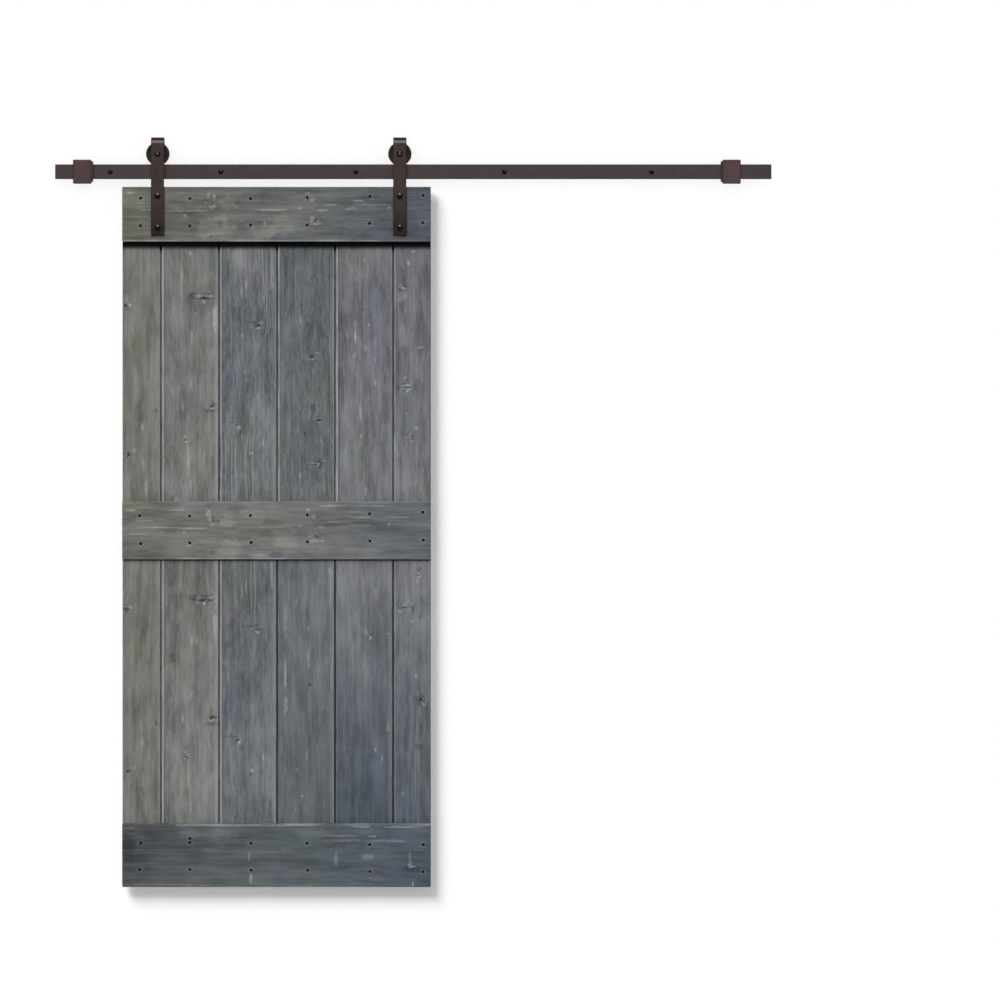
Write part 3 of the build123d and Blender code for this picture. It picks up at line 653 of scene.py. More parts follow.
            (OLIVE_GREY, Spot(140, 508, 14, 5, 0.4)), (OLIVE_GREY, Spot(132.5, 525, 4, 4, 0.5)),
            (PALE_OLIVE, Spot(228, 520, 8, 7, 0.8)), (PALE_OLIVE, Spot(230, 547, 13, 8, 0.6)),
            (PALE_OLIVE, Spot(259, 539, 9, 3.5, 0.4)), (PALE_OLIVE, Spot(285, 541, 11, 10, 0.45)),
            (BLUE_GREY, Spot(276, 555, 6, 4, 0.7)), (BLUE_GREY, Spot(367, 539, 10, 5, 0.35)),
            (BLUE_GREY, Spot(417, 524.5, 11, 4, 0.4)), (BLUE_GREY, Spot(406.6, 540, 11, 7, 0.3)),
        ],
        [(213, 519, 0.007), (316, 537, 0.006)],
    ),
    "bottom_ledge": Board(
        ((76, 80, 82), (88, 95, 98), (79, 87, 99)), (0.25, 0.25), 0.9, (0.2, 0.45),
        [
            Spot(226, 825.3, 54, 0.9, 0.5), Spot(361, 826.6, 11, 0.9, 0.6), Spot(400, 827, 15, 0.9, 0.6),
            Spot(249, 857, 1.2, 5, 0.3), Spot(250.5, 879, 1.8, 4, 0.45), Spot(341, 835.8, 21, 1, 0.35),
            Spot(373, 836.3, 5, 0.6, 0.6), Spot(342, 840.4, 20, 1.4, 0.25), Spot(387, 841, 19, 1.4, 0.25),
            Spot(336, 860, 1.6, 7, 0.3), Spot(368, 857, 6, 3.5, 0.2), Spot(410, 859, 1.5, 7, 0.3),
            Spot(412.8, 883.8, 0.9, 2, 0.8), Spot(173, 884.5, 49, 0.6, 0.3), Spot(129, 828, 5, 0.9, 0.35),
        ],
        [Spot(407.7, 864.9, 2, 2, 0.5), Spot(131, 831, 3, 1.2, 0.6), Spot(150, 824.8, 24, 0.7, 0.4)],
        [
            (DARK_END, Spot(127, 848, 7, 18, 0.6)), (DARK_END, Spot(136, 858, 12, 5, 0.35)),
            (MIST_GREY, Spot(191, 834.5, 13, 5, 0.5)), (MIST_GREY, Spot(223, 835, 20, 6, 0.5)),
            (MIST_GREY, Spot(212, 849.6, 10, 2, 0.4)), (VIOLET_GREY, Spot(220, 855, 9, 4, 0.4)),
            (MIST_GREY, Spot(266, 851.6, 13, 2.2, 0.7)), (BLUE_GREY, Spot(272, 866, 9, 11, 0.4)),
            (MIST_GREY, Spot(311, 835, 21, 6, 0.6)), (TEAL_GREY, Spot(368, 831.7, 14, 3.5, 0.6)),
            (MIST_GREY, Spot(288, 850.6, 13, 1.3, 0.4)), (BLUE_GREY, Spot(287, 874, 12, 9, 0.3)),
            (OLIVE_GREY, Spot(377, 878, 8, 3, 0.3)),
        ],
        [(410, 866, 0.004)],
    ),
}

# The three planks at the left look much the same again below the middle ledge, a little stretched
REPEATED_PLANKS = ("plank_1", "plank_2", "plank_3")
REPEAT_ROW = 298.0
REPEAT_LOWER_ROW = 600.0
REPEAT_STRETCH = 1.10

# The crumbs about a ledge's knot: how many, how far out in radii, how much wider than high they spread,
# their half sizes in pixels and how strong they are
CRUMB_COUNT = 6
CRUMB_REACH = (0.6, 1.8)
CRUMB_SPREAD = (1.9, 1.2)
CRUMB_HALF_WIDTH = (0.8, 2.0)
CRUMB_HALF_HEIGHT = (0.6, 1.3)
CRUMB_SHARE = (0.45, 0.8)
CRUMB_DARK_EVERY = 3
CRUMB_SEED = 40

# The frame's nodes
LEDGES = ("top_ledge", "middle_ledge", "bottom_ledge")
PLANK_COUNT = 6
LAG_COUNT = 5
SIDES = ("left", "right")

record = frame["record"]
body_of_node = {node: body for body, nodes in record["behaviour"]["bodies"].items() for node in nodes}


def from_pixel(column, row):
    """The place across and up the wall that a pixel of the photograph shows, in metres."""
    x = (column - ORIGIN_PIXEL[0]) * METRES_PER_PIXEL
    z = (ORIGIN_PIXEL[1] - row) * METRES_PER_PIXEL
    return x, z


def lower_row(row):
    """The row in the lower bay that repeats a row in the upper one."""
    return REPEAT_LOWER_ROW + REPEAT_STRETCH * (row - REPEAT_ROW)


def with_repeats(node):
    """A board with everything on it, the repeats in the lower bay too."""
    board = BOARDS[node]
    if node not in REPEATED_PLANKS:
        return board
    return board._replace(
        pale=board.pale + [spot._replace(row=lower_row(spot.row)) for spot in board.pale],
        dark=board.dark + [spot._replace(row=lower_row(spot.row)) for spot in board.dark],
        tinted=board.tinted + [(tone, spot._replace(row=lower_row(spot.row))) for tone, spot in board.tinted],
        knots=board.knots + [(column, lower_row(row), radius) for column, row, radius in board.knots],
    )


def with_crumbs(node):
    """A ledge with small crumbs strewn about its knots, most of them pale."""
    board = BOARDS[node]
    scatter = np.random.RandomState(LEDGES.index(node) + CRUMB_SEED)
    crumbs = []
    for column, row, radius in board.knots:
        for _ in range(CRUMB_COUNT):
            angle = scatter.uniform(0, 2 * math.pi)
            reach = scatter.uniform(*CRUMB_REACH) * radius / METRES_PER_PIXEL
            crumbs.append(
                Spot(
                    column + CRUMB_SPREAD[0] * reach * math.cos(angle),
                    row + CRUMB_SPREAD[1] * reach * math.sin(angle),
                    scatter.uniform(*CRUMB_HALF_WIDTH),
                    scatter.uniform(*CRUMB_HALF_HEIGHT),
                    scatter.uniform(*CRUMB_SHARE),
                )
            )
    pale = [crumb for number, crumb in enumerate(crumbs) if number % CRUMB_DARK_EVERY]
    return board._replace(pale=board.pale + pale, dark=board.dark + crumbs[::CRUMB_DARK_EVERY])


# Shapes

def eased(corners, ease, steps=3, longest=None, closed=True, hold=False):
    """An outline with its corners rounded, and how far out on a corner each point lies, from 0 to 1.

    Held corners have a point more on either side, which keeps the faces beside them flat.
    """
    corners = np.array(corners, float)
    count = len(corners)
    following = np.roll(corners, -1, axis=0)
    turn = np.sign(np.sum(corners[:, 0] * following[:, 1] - following[:, 0] * corners[:, 1]))
    points, wear = [], []
    for i, corner in enumerate(corners):
        if not closed and i in (0, count - 1):
            points.append(corner)
            wear.append(0.0)
            continue
        back = corners[i - 1] - corner
        ahead = following[i] - corner
        back_length = np.linalg.norm(back)
        ahead_length = np.linalg.norm(ahead)
        reach = min(ease, CORNER_SHARE * back_length, CORNER_SHARE * ahead_length)
        start = corner + back / back_length * reach
        end = corner + ahead / ahead_length * reach
        outward = (back[0] * ahead[1] - back[1] * ahead[0]) * turn < 0
        if hold:
            points.append(start + (start - corner) * HOLD_SHARE)
            wear.append(0.0)
        for s in np.linspace(0, 1, steps + 1):
            points.append((1 - s) ** 2 * start + 2 * s * (1 - s) * corner + s * s * end)
            wear.append(4 * s * (1 - s) if outward else 0.0)
        if hold:
            points.append(end + (end - corner) * HOLD_SHARE)
            wear.append(0.0)
    if longest is None:
        return np.array(points), np.array(wear)
    return divided(points, wear, longest)


def divided(points, wear, longest):
    """The same closed outline with points added wherever two lie further apart than the longest step."""
    fine_points, fine_wear = [], []
    for i, here in enumerate(points):
        there = points[(i + 1) % len(points)]
        pieces = max(1, math.ceil(np.linalg.norm(there - here) / longest))
        for k in range(pieces):
            fine_points.append(here + (there - here) * k / pieces)
            fine_wear.append(wear[i] if k == 0 else 0.0)
    return np.array(fine_points), np.array(fine_wear)


def stations(start, end, ease, step):
    """Places along a sweep, each with how far the section is drawn in there to ease its ends."""
    middle_count = max(1, round((end - start - 2 * ease) / step))
    held = [start + ease * (1 + HOLD_SHARE), end - ease * (1 + HOLD_SHARE)]
    even = np.linspace(start + ease, end - ease, middle_count + 1)
    middle = [(place, 0.0) for place in sorted([*even, *held])]
    part = ROUND_MIDDLE * ease
    return [(start, ease), (start + part, part), *middle, (end - part, part), (end, ease)]


def drawn_in(outline, amount):
    """An outline shrunk towards its middle by the same amount each way."""
    low, high = outline.min(axis=0), outline.max(axis=0)
    middle = (low + high) / 2
    return middle + (outline - middle) * (1 - amount / ((high - low) / 2))


def swept_rings(outline, places, order):
    """A ring of points for each place; order gives the axes of the outline's two numbers and the sweep."""
    rings = np.zeros((len(places), len(outline), 3))
    for ring, (place, inset) in zip(rings, places):
        section = drawn_in(outline, inset)
        ring[:, order[0]] = section[:, 0]
        ring[:, order[1]] = section[:, 1]
        ring[:, order[2]] = place
    return rings


def skin(name, rings, wear, closed_path=False):
    """A mesh over a row of rings. An open row gets flat caps, and a closed one joins up with itself."""
    rings = np.asarray(rings, float)
    row_count, loop_count = rings.shape[:2]
    index = np.arange(row_count * loop_count).reshape(row_count, loop_count)
    near = index if closed_path else index[:-1]
    far = np.roll(index, -1, axis=0) if closed_path else index[1:]
    quads = np.stack([near, np.roll(near, -1, axis=1), np.roll(far, -1, axis=1), far], axis=-1)
    faces = quads.reshape(-1, 4).tolist()
    if not closed_path:
        faces += [index[0][::-1].tolist(), index[-1].tolist()]
    mesh = bpy.data.meshes.new(name)
    mesh.from_pydata(rings.reshape(-1, 3).tolist(), [], faces)
    spread = np.broadcast_to(np.asarray(wear, float), (row_count, loop_count)).reshape(-1)
    mesh.attributes.new("wear", "FLOAT", "POINT").data.foreach_set("value", spread.astype(np.float32))
    return tidied(mesh)


def tidied(mesh):
    """Merges points that coincide, turns every face outward and smooths all but the sharp edges."""
    work = bmesh.new()
    work.from_mesh(mesh)
    bmesh.ops.remove_doubles(work, verts=work.verts, dist=MERGE_DISTANCE)
    bmesh.ops.dissolve_degenerate(work, edges=work.edges, dist=MERGE_DISTANCE)
    bmesh.ops.recalc_face_normals(work, faces=work.faces)
    work.to_mesh(mesh)
    work.free()
    mesh.shade_smooth()
    mesh.set_sharp_from_angle(angle=SHARP_ANGLE)
    piece = bpy.data.objects.new(mesh.name, mesh)
    bpy.context.scene.collection.objects.link(piece)
    return piece


def joined(name, pieces):
    """Several meshes made into one piece."""
    with bpy.context.temp_override(
        active_object=pieces[0], selected_editable_objects=pieces, selected_objects=pieces
    ):
        bpy.ops.object.join()
    pieces[0].name = name
    pieces[0].data.name = name
    return pieces[0]


def turned(name, centre, facing, profile_at, segments=TURNED_SEGMENTS, ease=HEAD_EASE, closed=False):
    """A piece turned about Y. Its profile, radius and depth to the facing side, may change with the angle."""
    x, y, z = centre
    rings = []
    for angle in np.arange(segments) * 2 * math.pi / segments:
        profile, wear = eased(profile_at(angle), ease, steps=2, closed=closed)
        radius, depth = profile[:, 0], profile[:, 1]
        ring = [x + radius * math.cos(angle), y + facing * depth, z + radius * math.sin(angle)]
        rings.append(np.stack(ring, axis=-1))
    return skin(name, rings, wear, closed_path=True)


def hex_radius(angle, flats):
    """How far a hexagon with flats at top and bottom and worn corners reaches at an angle."""
    past_flat = angle % (math.pi / 3) - math.pi / 6
    return min(flats / 2 / math.cos(past_flat), flats / math.sqrt(3) * HEX_CORNER_SHARE)


def hex_side(angle, flats, height):
    """Outline points up a hex head: its foot, the top of its side and the edge of its turned face."""
    reach = hex_radius(angle, flats)
    face = flats / 2 * HEAD_CHAMFER_SHARE
    drop = (reach - face) * math.tan(HEAD_CHAMFER_ANGLE)
    return [(reach, 0), (reach, height - drop), (face, height)]


def value_noise(across, along, cell, seed):
    """Smooth noise from 0 to 1 over a plane, the same each run, in cells of a size."""
    side = NOISE_SIDE
    table = np.random.RandomState(seed).rand(side, side)
    across, along = across / cell[0], along / cell[1]
    row, column = np.floor(across).astype(int), np.floor(along).astype(int)
    u, v = across - row, along - column
    u, v = u * u * (3 - 2 * u), v * v * (3 - 2 * v)
    corner = [[table[(row + i) % side, (column + j) % side] for j in (0, 1)] for i in (0, 1)]
    near = corner[0][0] * (1 - v) + corner[0][1] * v
    far = corner[1][0] * (1 - v) + corner[1][1] * v
    return near * (1 - u) + far * u


# Boards

def grain_relief(across, along, seed):
    """How far a board's face lies below its plane: long fine ridges on a slow swell."""
    bent = across + GRAIN_BEND * value_noise(across, along, BEND_CELL, seed)
    ridges = value_noise(bent, along, RIDGE_CELL, seed + 1)
    swell = value_noise(across, along, SWELL_CELL, seed + 2)
    return RIDGE_DEPTH * ridges + SWELL_DEPTH * swell


def worn_board(name, outline, wear, places, order, seed):
    """A board swept from its section, with relief on both faces and nicked edges, all below the CAD faces."""
    rings = swept_rings(outline, places, order)
    across_axis, along_axis = order[0], order[2]
    across, along = rings[..., across_axis], rings[..., along_axis]
    front, back = outline[:, 1].min(), outline[:, 1].max()
    low, high = outline[:, 0].min(), outline[:, 0].max()
    from_edge = np.minimum(across - low, high - across)
    settle = np.clip((from_edge - RELIEF_START) / RELIEF_FADE, 0, 1)
    middle = 1 - (2 * (across - low) / (high - low) - 1) ** 2
    depth = settle * grain_relief(across, along, seed) + CUP_DEPTH * middle
    depth += EDGE_NICK * wear * value_noise(along, along * 0, NICK_CELL, seed + 3)
    near_front = rings[..., 1] < front + FACE_DEPTH
    near_back = rings[..., 1] > back - FACE_DEPTH
    rings[..., 1] += np.where(near_front, depth, 0) - np.where(near_back, depth, 0)
    return skin(name, rings, wear)


def point_places(piece):
    """The places of a piece's points, as an array."""
    places = np.zeros(len(piece.data.vertices) * 3, np.float32)
    piece.data.vertices.foreach_get("co", places)
    return places.reshape(-1, 3)


def set_attribute(piece, name, values):
    """Stores one number for each point of a piece."""
    attribute = piece.data.attributes.new(name, "FLOAT", "POINT")
    attribute.data.foreach_set("value", np.asarray(values, np.float32))


def plank(number):
    """A tongued and grooved plank, with the bottoms of its V joints marked."""
    node = f"plank_{number}"
    low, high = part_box(node)
    left = low.x
    right = high.x - (TONGUE_LENGTH if number < PLANK_COUNT else 0)
    front, back = low.y, high.y
    middle = (front + back) / 2
    chamfer = PLANK_CHAMFER
    outline = [(left + chamfer, front), (right - chamfer, front), (right, front + chamfer)]
    if number < PLANK_COUNT:
        outline += [
            (right, middle - TONGUE_THICKNESS / 2),
            (right + TONGUE_LENGTH, middle - TONGUE_THICKNESS / 2),
            (right + TONGUE_LENGTH, middle + TONGUE_THICKNESS / 2),
            (right, middle + TONGUE_THICKNESS / 2),
        ]
    outline += [(right, back - chamfer), (right - chamfer, back)]
    outline += [(left + chamfer, back), (left, back - chamfer)]
    if number > 1:
        outline += [
            (left, middle + GROOVE_WIDTH / 2),
            (left + GROOVE_DEPTH, middle + GROOVE_WIDTH / 2),
            (left + GROOVE_DEPTH, middle - GROOVE_WIDTH / 2),
            (left, middle - GROOVE_WIDTH / 2),
        ]
    outline.append((left, front + chamfer))
    section, wear = eased(outline, BOARD_EASE, steps=2, longest=BOARD_ACROSS_STEP)
    places = stations(low.z, high.z, BOARD_EASE, PLANK_ALONG_STEP)
    piece = worn_board(f"stained_{node}", section, wear, places, (0, 1, 2), PLANK_RELIEF_SEED * number)
    points = point_places(piece)
    inset = chamfer - JOINT_MARGIN
    buried = (points[:, 1] > front + inset) & (points[:, 1] < back - inset)
    side = (points[:, 0] < left + chamfer) | (points[:, 0] > right - chamfer)
    outer = (points[:, 0] < door_left + chamfer) | (points[:, 0] > door_right - chamfer)
    set_attribute(piece, "joint", buried & side & ~outer)
    return piece


def nail_places(node):
    """Where one ledge's nails go: two rows of six, a little uneven."""
    low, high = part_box(node)
    upper, lower, rise = NAIL_ROWS[node]
    scatter = np.random.RandomState(LEDGES.index(node) + NAIL_SEED)
    places = []
    for row in (upper, lower):
        for column in NAIL_COLUMNS:
            climb = rise * (column / (high.x - low.x)) ** 2
            dx, dz = scatter.uniform(-NAIL_SCATTER, NAIL_SCATTER, 2)
            places.append((low.x + column + dx, high.z - row + climb + dz))
    if node == "bottom_ledge":
        places.append(from_pixel(*SPARE_NAIL_PIXEL))
    return places


def ledge(node):
    """A board across the planks with worn edges and open nail holes."""
    low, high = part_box(node)
    front, back = low.y, high.y
    corners = [(low.z, front), (high.z, front), (high.z, back), (low.z, back)]
    section, wear = eased(corners, LEDGE_EASE, steps=4, longest=BOARD_ACROSS_STEP)
    places = stations(low.x, high.x, LEDGE_EASE, LEDGE_ALONG_STEP)
    seed = LEDGE_RELIEF_SEED + LEDGE_RELIEF_STEP * LEDGES.index(node)
    piece = worn_board(f"stained_{node}", section, wear, places, (2, 1, 0), seed)
    nails = nail_places(node)
    drilled(piece, nails, front)
    points = point_places(piece)
    distance = np.min([np.hypot(points[:, 0] - x, points[:, 2] - z) for x, z in nails], axis=0)
    rim = np.clip(1 - (distance - NAIL_HOLE_RADIUS) / NAIL_RIM_REACH, 0, 1)
    inside = distance < NAIL_HOLE_RADIUS - HOLE_MARGIN
    deep = points[:, 1] > front + HOLE_WALL_START
    set_attribute(piece, "nail_rim", rim * (points[:, 1] < front + HOLE_RIM_DEPTH) * ~inside)
    set_attribute(piece, "joint", deep & (distance < NAIL_HOLE_RADIUS + HOLE_MARGIN))
    return piece


def drilled(piece, places, front):
    """Cuts a blind nail hole at each place in a board's front face."""
    cutters = bmesh.new()
    for x, z in places:
        made = bmesh.ops.create_cone(
            cutters, cap_ends=True, segments=HOLE_SEGMENTS, radius1=NAIL_HOLE_RADIUS,
            radius2=NAIL_HOLE_RADIUS * NAIL_HOLE_TAPER, depth=2 * NAIL_HOLE_DEPTH,
        )
        for vertex in made["verts"]:
            along = vertex.co.z
            vertex.co = Vector((x + vertex.co.x, front + along, z + vertex.co.y))
    bmesh.ops.reverse_faces(cutters, faces=cutters.faces)  # the swap of axes had turned them inward
    mesh = bpy.data.meshes.new("nail_hole_cutters")
    cutters.to_mesh(mesh)
    cutters.free()
    cutter = bpy.data.objects.new("nail_hole_cutters", mesh)
    bpy.context.scene.collection.objects.link(cutter)
    cut = piece.modifiers.new("nail holes", "BOOLEAN")
    cut.operation = "DIFFERENCE"
    cut.solver = "EXACT"
    cut.object = cutter
    graph = bpy.context.evaluated_depsgraph_get()
    result = bpy.data.meshes.new_from_object(piece.evaluated_get(graph))
    piece.modifiers.clear()
    piece.data = result
    bpy.data.objects.remove(cutter)
    result.set_sharp_from_angle(angle=SHARP_ANGLE)


def nail_heads(node):
    """The sunk heads of one ledge's nails, joined."""
    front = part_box(node)[0].y
    radius = NAIL_HOLE_RADIUS * NAIL_HOLE_TAPER
    profile = [
        (0, -NAIL_HEAD_THICKNESS), (radius, -NAIL_HEAD_THICKNESS), (radius, -NAIL_HEAD_CHAMFER),
        (radius * NAIL_FACE_SHARE, 0), (0, NAIL_HEAD_CROWN),
    ]
    heads = []
    for x, z in nail_places(node):
        place = (x, front + NAIL_SINK, z)
        heads.append(turned("nail_head", place, -1, lambda angle: profile, NAIL_SEGMENTS, NAIL_EASE))
    return joined(f"{node}_nails", heads)


# Track pieces

def flat_bar(node):
    """A bar on edge along X with eased edges and ends."""
    low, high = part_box(node)
    corners = [(low.y, low.z), (high.y, low.z), (high.y, high.z), (low.y, high.z)]
    section, wear = eased(corners, COAT_EASE, steps=4, hold=True)
    places = stations(low.x, high.x, COAT_EASE, BAR_STEP)
    return skin(f"coated_{node}", swept_rings(section, places, (1, 2, 0)), wear)


def stop_block(node, ease, step):
    """A C-shaped block that grips the track from the front."""
    low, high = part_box(node)
    arm = high.y - STOP_ARM_DEPTH
    corners = [
        (low.y, low.z), (high.y, low.z), (high.y, -STOP_SLOT_HALF), (arm, -STOP_SLOT_HALF),
        (arm, STOP_SLOT_HALF), (high.y, STOP_SLOT_HALF), (high.y, high.z), (low.y, high.z),
    ]
    section, wear = eased(corners, ease, steps=5, hold=True)
    places = stations(low.x, high.x, min(ease, STOP_END_EASE), step)
    return skin(f"formed_{node}", swept_rings(section, places, (1, 2, 0)), wear)


def round_sleeve(name, low, high, bore, ease):
    """A tube along Y that fills a box."""
    centre = ((low.x + high.x) / 2, low.y, (low.z + high.z) / 2)
    radius, length = (high.x - low.x) / 2, high.y - low.y
    profile = [(bore, 0), (radius, 0), (radius, length), (bore, length)]
    return turned(name, centre, 1, lambda angle: profile, ease=ease, closed=True)


def standoff(node):
    """The round sleeve between track and wall."""
    low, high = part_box(node)
    return round_sleeve(f"turned_{node}", low, high, STANDOFF_BORE, STANDOFF_EASE)


def lag_bolt(node):
    """A hex lag bolt with a coarse wood thread."""
    low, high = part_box(node)
    flats = high.z - low.z
    seat = low.y + LAG_HEAD_HEIGHT
    centre = ((low.x + high.x) / 2, seat, 0)
    thread_start = -(LAG_SHANK_IN_WALL - seat)
    tip = -(high.y - seat)
    taper_start = tip + LAG_TIP_LENGTH
    step = LAG_PITCH / THREAD_STEPS
    depths = np.arange(tip + step, thread_start - 2 * step, step)

    def profile(angle):
        """The outline at one angle, from the tip up to the middle of the head."""
        turns = (depths / LAG_PITCH + angle / (2 * math.pi)) % 1
        ridge = np.clip(1 - np.abs(turns - 0.5) / THREAD_RIDGE, 0, 1)
        swell = np.clip((depths - tip) / (taper_start - tip), THREAD_TIP_SHARE, 1)
        radii = (LAG_ROOT_RADIUS + (LAG_CREST_RADIUS - LAG_ROOT_RADIUS) * ridge) * swell
        points = [(0, tip), (LAG_TIP_RADIUS * LAG_POINT_SHARE, tip)]
        points += list(zip(radii, depths))
        points += [(LAG_ROOT_RADIUS, thread_start - step), (LAG_RADIUS, thread_start), (LAG_RADIUS, 0)]
        return points + domed_head(angle, flats, LAG_HEAD_HEIGHT)

    return turned(f"threaded_{node}", centre, -1, profile, LAG_SEGMENTS, THREAD_EASE)


def domed_head(angle, flats, height):
    """Outline points of a forged hex head, from its foot to the middle of its domed face."""
    dome = height * DOME_SHARE
    side = hex_side(angle, flats, height - dome)
    face = side[-1][0]
    shares = np.linspace(1, 0, DOME_STEPS + 1)[1:]
    return side + [(face * share, height - dome * share ** 2) for share in shares]


def clamp_screws(node):
    """The two socketed button-head screws behind one stop, joined."""
    low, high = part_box(node)
    x = (low.x + high.x) / 2
    radius = (high.x - low.x) / 2
    seat = high.y - CLAMP_HEAD_HEIGHT
    length = seat - low.y

    def profile(angle):
        """The outline at one angle, from the end of the shank up to the floor of the socket."""
        socket = hex_radius(angle, CLAMP_SOCKET_FLATS)
        top, floor = CLAMP_HEAD_HEIGHT, CLAMP_HEAD_HEIGHT - CLAMP_SOCKET_DEPTH
        return [
            (0, -length), (CLAMP_SCREW_RADIUS * CLAMP_END_SHARE, -length),
            (CLAMP_SCREW_RADIUS, CLAMP_END_CHAMFER - length), (CLAMP_SCREW_RADIUS, 0),
            *((radius * out, top * up) for out, up in BUTTON_CURVE),
            (socket, top), (socket, floor), (0, floor),
        ]

    screws = []
    for z in (low.z + radius, high.z - radius):
        screws.append(turned(f"{node}_one", (x, seat, z), 1, profile, SCREW_SEGMENTS))
    return joined(f"socketed_{node}", screws)


# Hangers and wheels

def strap(node):
    """A flat strap bent over the wheel, with rolled edges."""
    low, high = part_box(node)
    half_width, half = (high.x - low.x) / 2, STRAP_THICKNESS / 2
    x = (low.x + high.x) / 2
    bend_y = (low.y + high.y) / 2
    bend_radius = (high.y - low.y) / 2 - half
    bend_z = high.z - bend_radius - half
    rear_bottom = strap_rear_bottom(node)
    front_y, rear_y = bend_y - bend_radius, bend_y + bend_radius
    route = [(front_y, z, math.pi, inset) for z, inset in stations(low.z, bend_z, COAT_EASE, STRAP_STEP)[:-2]]
    route += [
        (bend_y + bend_radius * math.cos(a), bend_z + bend_radius * math.sin(a), a, 0.0)
        for a in np.linspace(math.pi, 0, STRAP_BEND_STEPS + 1)[1:-1]
    ]
    rear = stations(rear_bottom, bend_z, COAT_EASE, STRAP_END_STEP)[:-2]
    route += [(rear_y, z, 0.0, inset) for z, inset in reversed(rear)]
    corners = [(-half_width, -half), (half_width, -half), (half_width, half), (-half_width, half)]
    section, wear = eased(corners, COAT_EASE, steps=4, hold=True)
    rings = []
    for y, z, angle, inset in route:
        outline = drawn_in(section, inset)
        width_left = rounded_end_share(z - rear_bottom, half_width) if angle == 0.0 else 1.0
        side, out = outline[:, 0] * width_left, outline[:, 1]
        rings.append(np.stack([x + side, y + out * math.cos(angle), z + out * math.sin(angle)], axis=-1))
    return skin(f"bent_{node}", rings, wear)


def strap_rear_bottom(node):
    """The height of the rear leg's end, read from the points behind the wheel."""
    points = point_places(frame["nodes"][node])
    return float(points[points[:, 1] > BEHIND_WHEELS][:, 2].min())


def rounded_end_share(above_end, half_width):
    """The share of its half width that the strap keeps near its rounded rear end."""
    short = max(0.0, STRAP_CORNER - above_end)
    return 1 - (STRAP_CORNER - math.sqrt(max(0.0, STRAP_CORNER ** 2 - short ** 2))) / half_width


def split_heights(node, reach):
    """The heights of the two like pieces that share a node."""
    low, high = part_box(node)
    return low.z + reach, high.z - reach


def headed_bolt(name, x, z, low_y, high_y, flats, glint_rise):
    """A hex bolt from its head, with a painted highlight on it, to its chamfered end at the back."""
    length = high_y - low_y - BOLT_HEAD_HEIGHT

    def profile(angle):
        """The outline at one angle, from the bolt's end up to the middle of its head."""
        end = [
            (0, -length), (BOLT_RADIUS - BOLT_END_CHAMFER, -length),
            (BOLT_RADIUS, BOLT_END_CHAMFER - length), (BOLT_RADIUS, 0),
        ]
        return end + domed_head(angle, flats, BOLT_HEAD_HEIGHT)

    piece = turned(name, (x, low_y + BOLT_HEAD_HEIGHT, z), -1, profile, HEAD_SEGMENTS)
    # the painted highlight: a bright spot on the head, stored on its points
    points = point_places(piece)
    from_glint = np.hypot(points[:, 0] - x, points[:, 2] - z - glint_rise)
    on_head = points[:, 1] < low_y + BOLT_HEAD_HEIGHT / 2
    set_attribute(piece, "painted_glint", on_head * np.clip(GLINT_FADE - from_glint / GLINT_RADIUS, 0, 1))
    return piece


def axle_bolt(node):
    """The bolt that a wheel turns on."""
    low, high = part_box(node)
    x, z = (low.x + high.x) / 2, (low.z + high.z) / 2
    return headed_bolt(f"forged_{node}", x, z, low.y, high.y, high.z - low.z, AXLE_GLINT_RISE)


def hanger_bolts(node, flats):
    """The two bolts of one strap, joined."""
    low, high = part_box(node)
    x = (low.x + high.x) / 2
    bolts = []
    for z in split_heights(node, flats / 2):
        bolts.append(headed_bolt(f"{node}_one", x, z, low.y, high.y, flats, HANGER_GLINT_RISE))
    return joined(f"forged_{node}", bolts)


def nut_bore(height):
    """Outline points down a nut's chamfered bore."""
    chamfer = NUT_BORE_CHAMFER
    return [(SPACER_BORE + chamfer, height), (SPACER_BORE, height - chamfer), (SPACER_BORE, 0)]


def axle_nut(node):
    """The plain hex nut behind a wheel."""
    low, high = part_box(node)
    flats, height = high.z - low.z, high.y - low.y

    def profile(angle):
        """The closed outline at one angle."""
        return hex_side(angle, flats, height) + nut_bore(height)

    centre = ((low.x + high.x) / 2, low.y, (low.z + high.z) / 2)
    return turned(f"forged_{node}", centre, 1, profile, HEAD_SEGMENTS, closed=True)


def hanger_nuts(node, flats):
    """The two flanged nuts of one strap, joined."""
    low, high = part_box(node)
    x, height = (low.x + high.x) / 2, high.y - low.y
    flange = (high.x - low.x) / 2

    def profile(angle):
        """The closed outline at one angle, flange first."""
        foot, shoulder, face = hex_side(angle, flats, height)
        neck = NUT_FLANGE_HEIGHT + NUT_NECK
        return [
            (flange, 0), (flange, NUT_FLANGE_HEIGHT * NUT_FLANGE_EDGE), (foot[0] + NUT_NECK_FLARE, neck),
            (foot[0], neck + NUT_NECK), shoulder, face, *nut_bore(height),
        ]

    nuts = []
    for z in split_heights(node, flange):
        nuts.append(turned(f"{node}_one", (x, low.y, z), 1, profile, HEAD_SEGMENTS, closed=True))
    return joined(f"forged_{node}", nuts)


def axle_spacers(node):
    """The two sleeves beside a bearing, joined."""
    low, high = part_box(node)
    front_high, rear_low = Vector(high), Vector(low)
    front_high.y = low.y + SPACER_LENGTH
    rear_low.y = high.y - SPACER_LENGTH
    sleeves = [
        round_sleeve(f"{node}_front", low, front_high, SPACER_BORE, SPACER_EASE),
        round_sleeve(f"{node}_rear", rear_low, high, SPACER_BORE, SPACER_EASE),
    ]
    return joined(f"turned_{node}", sleeves)


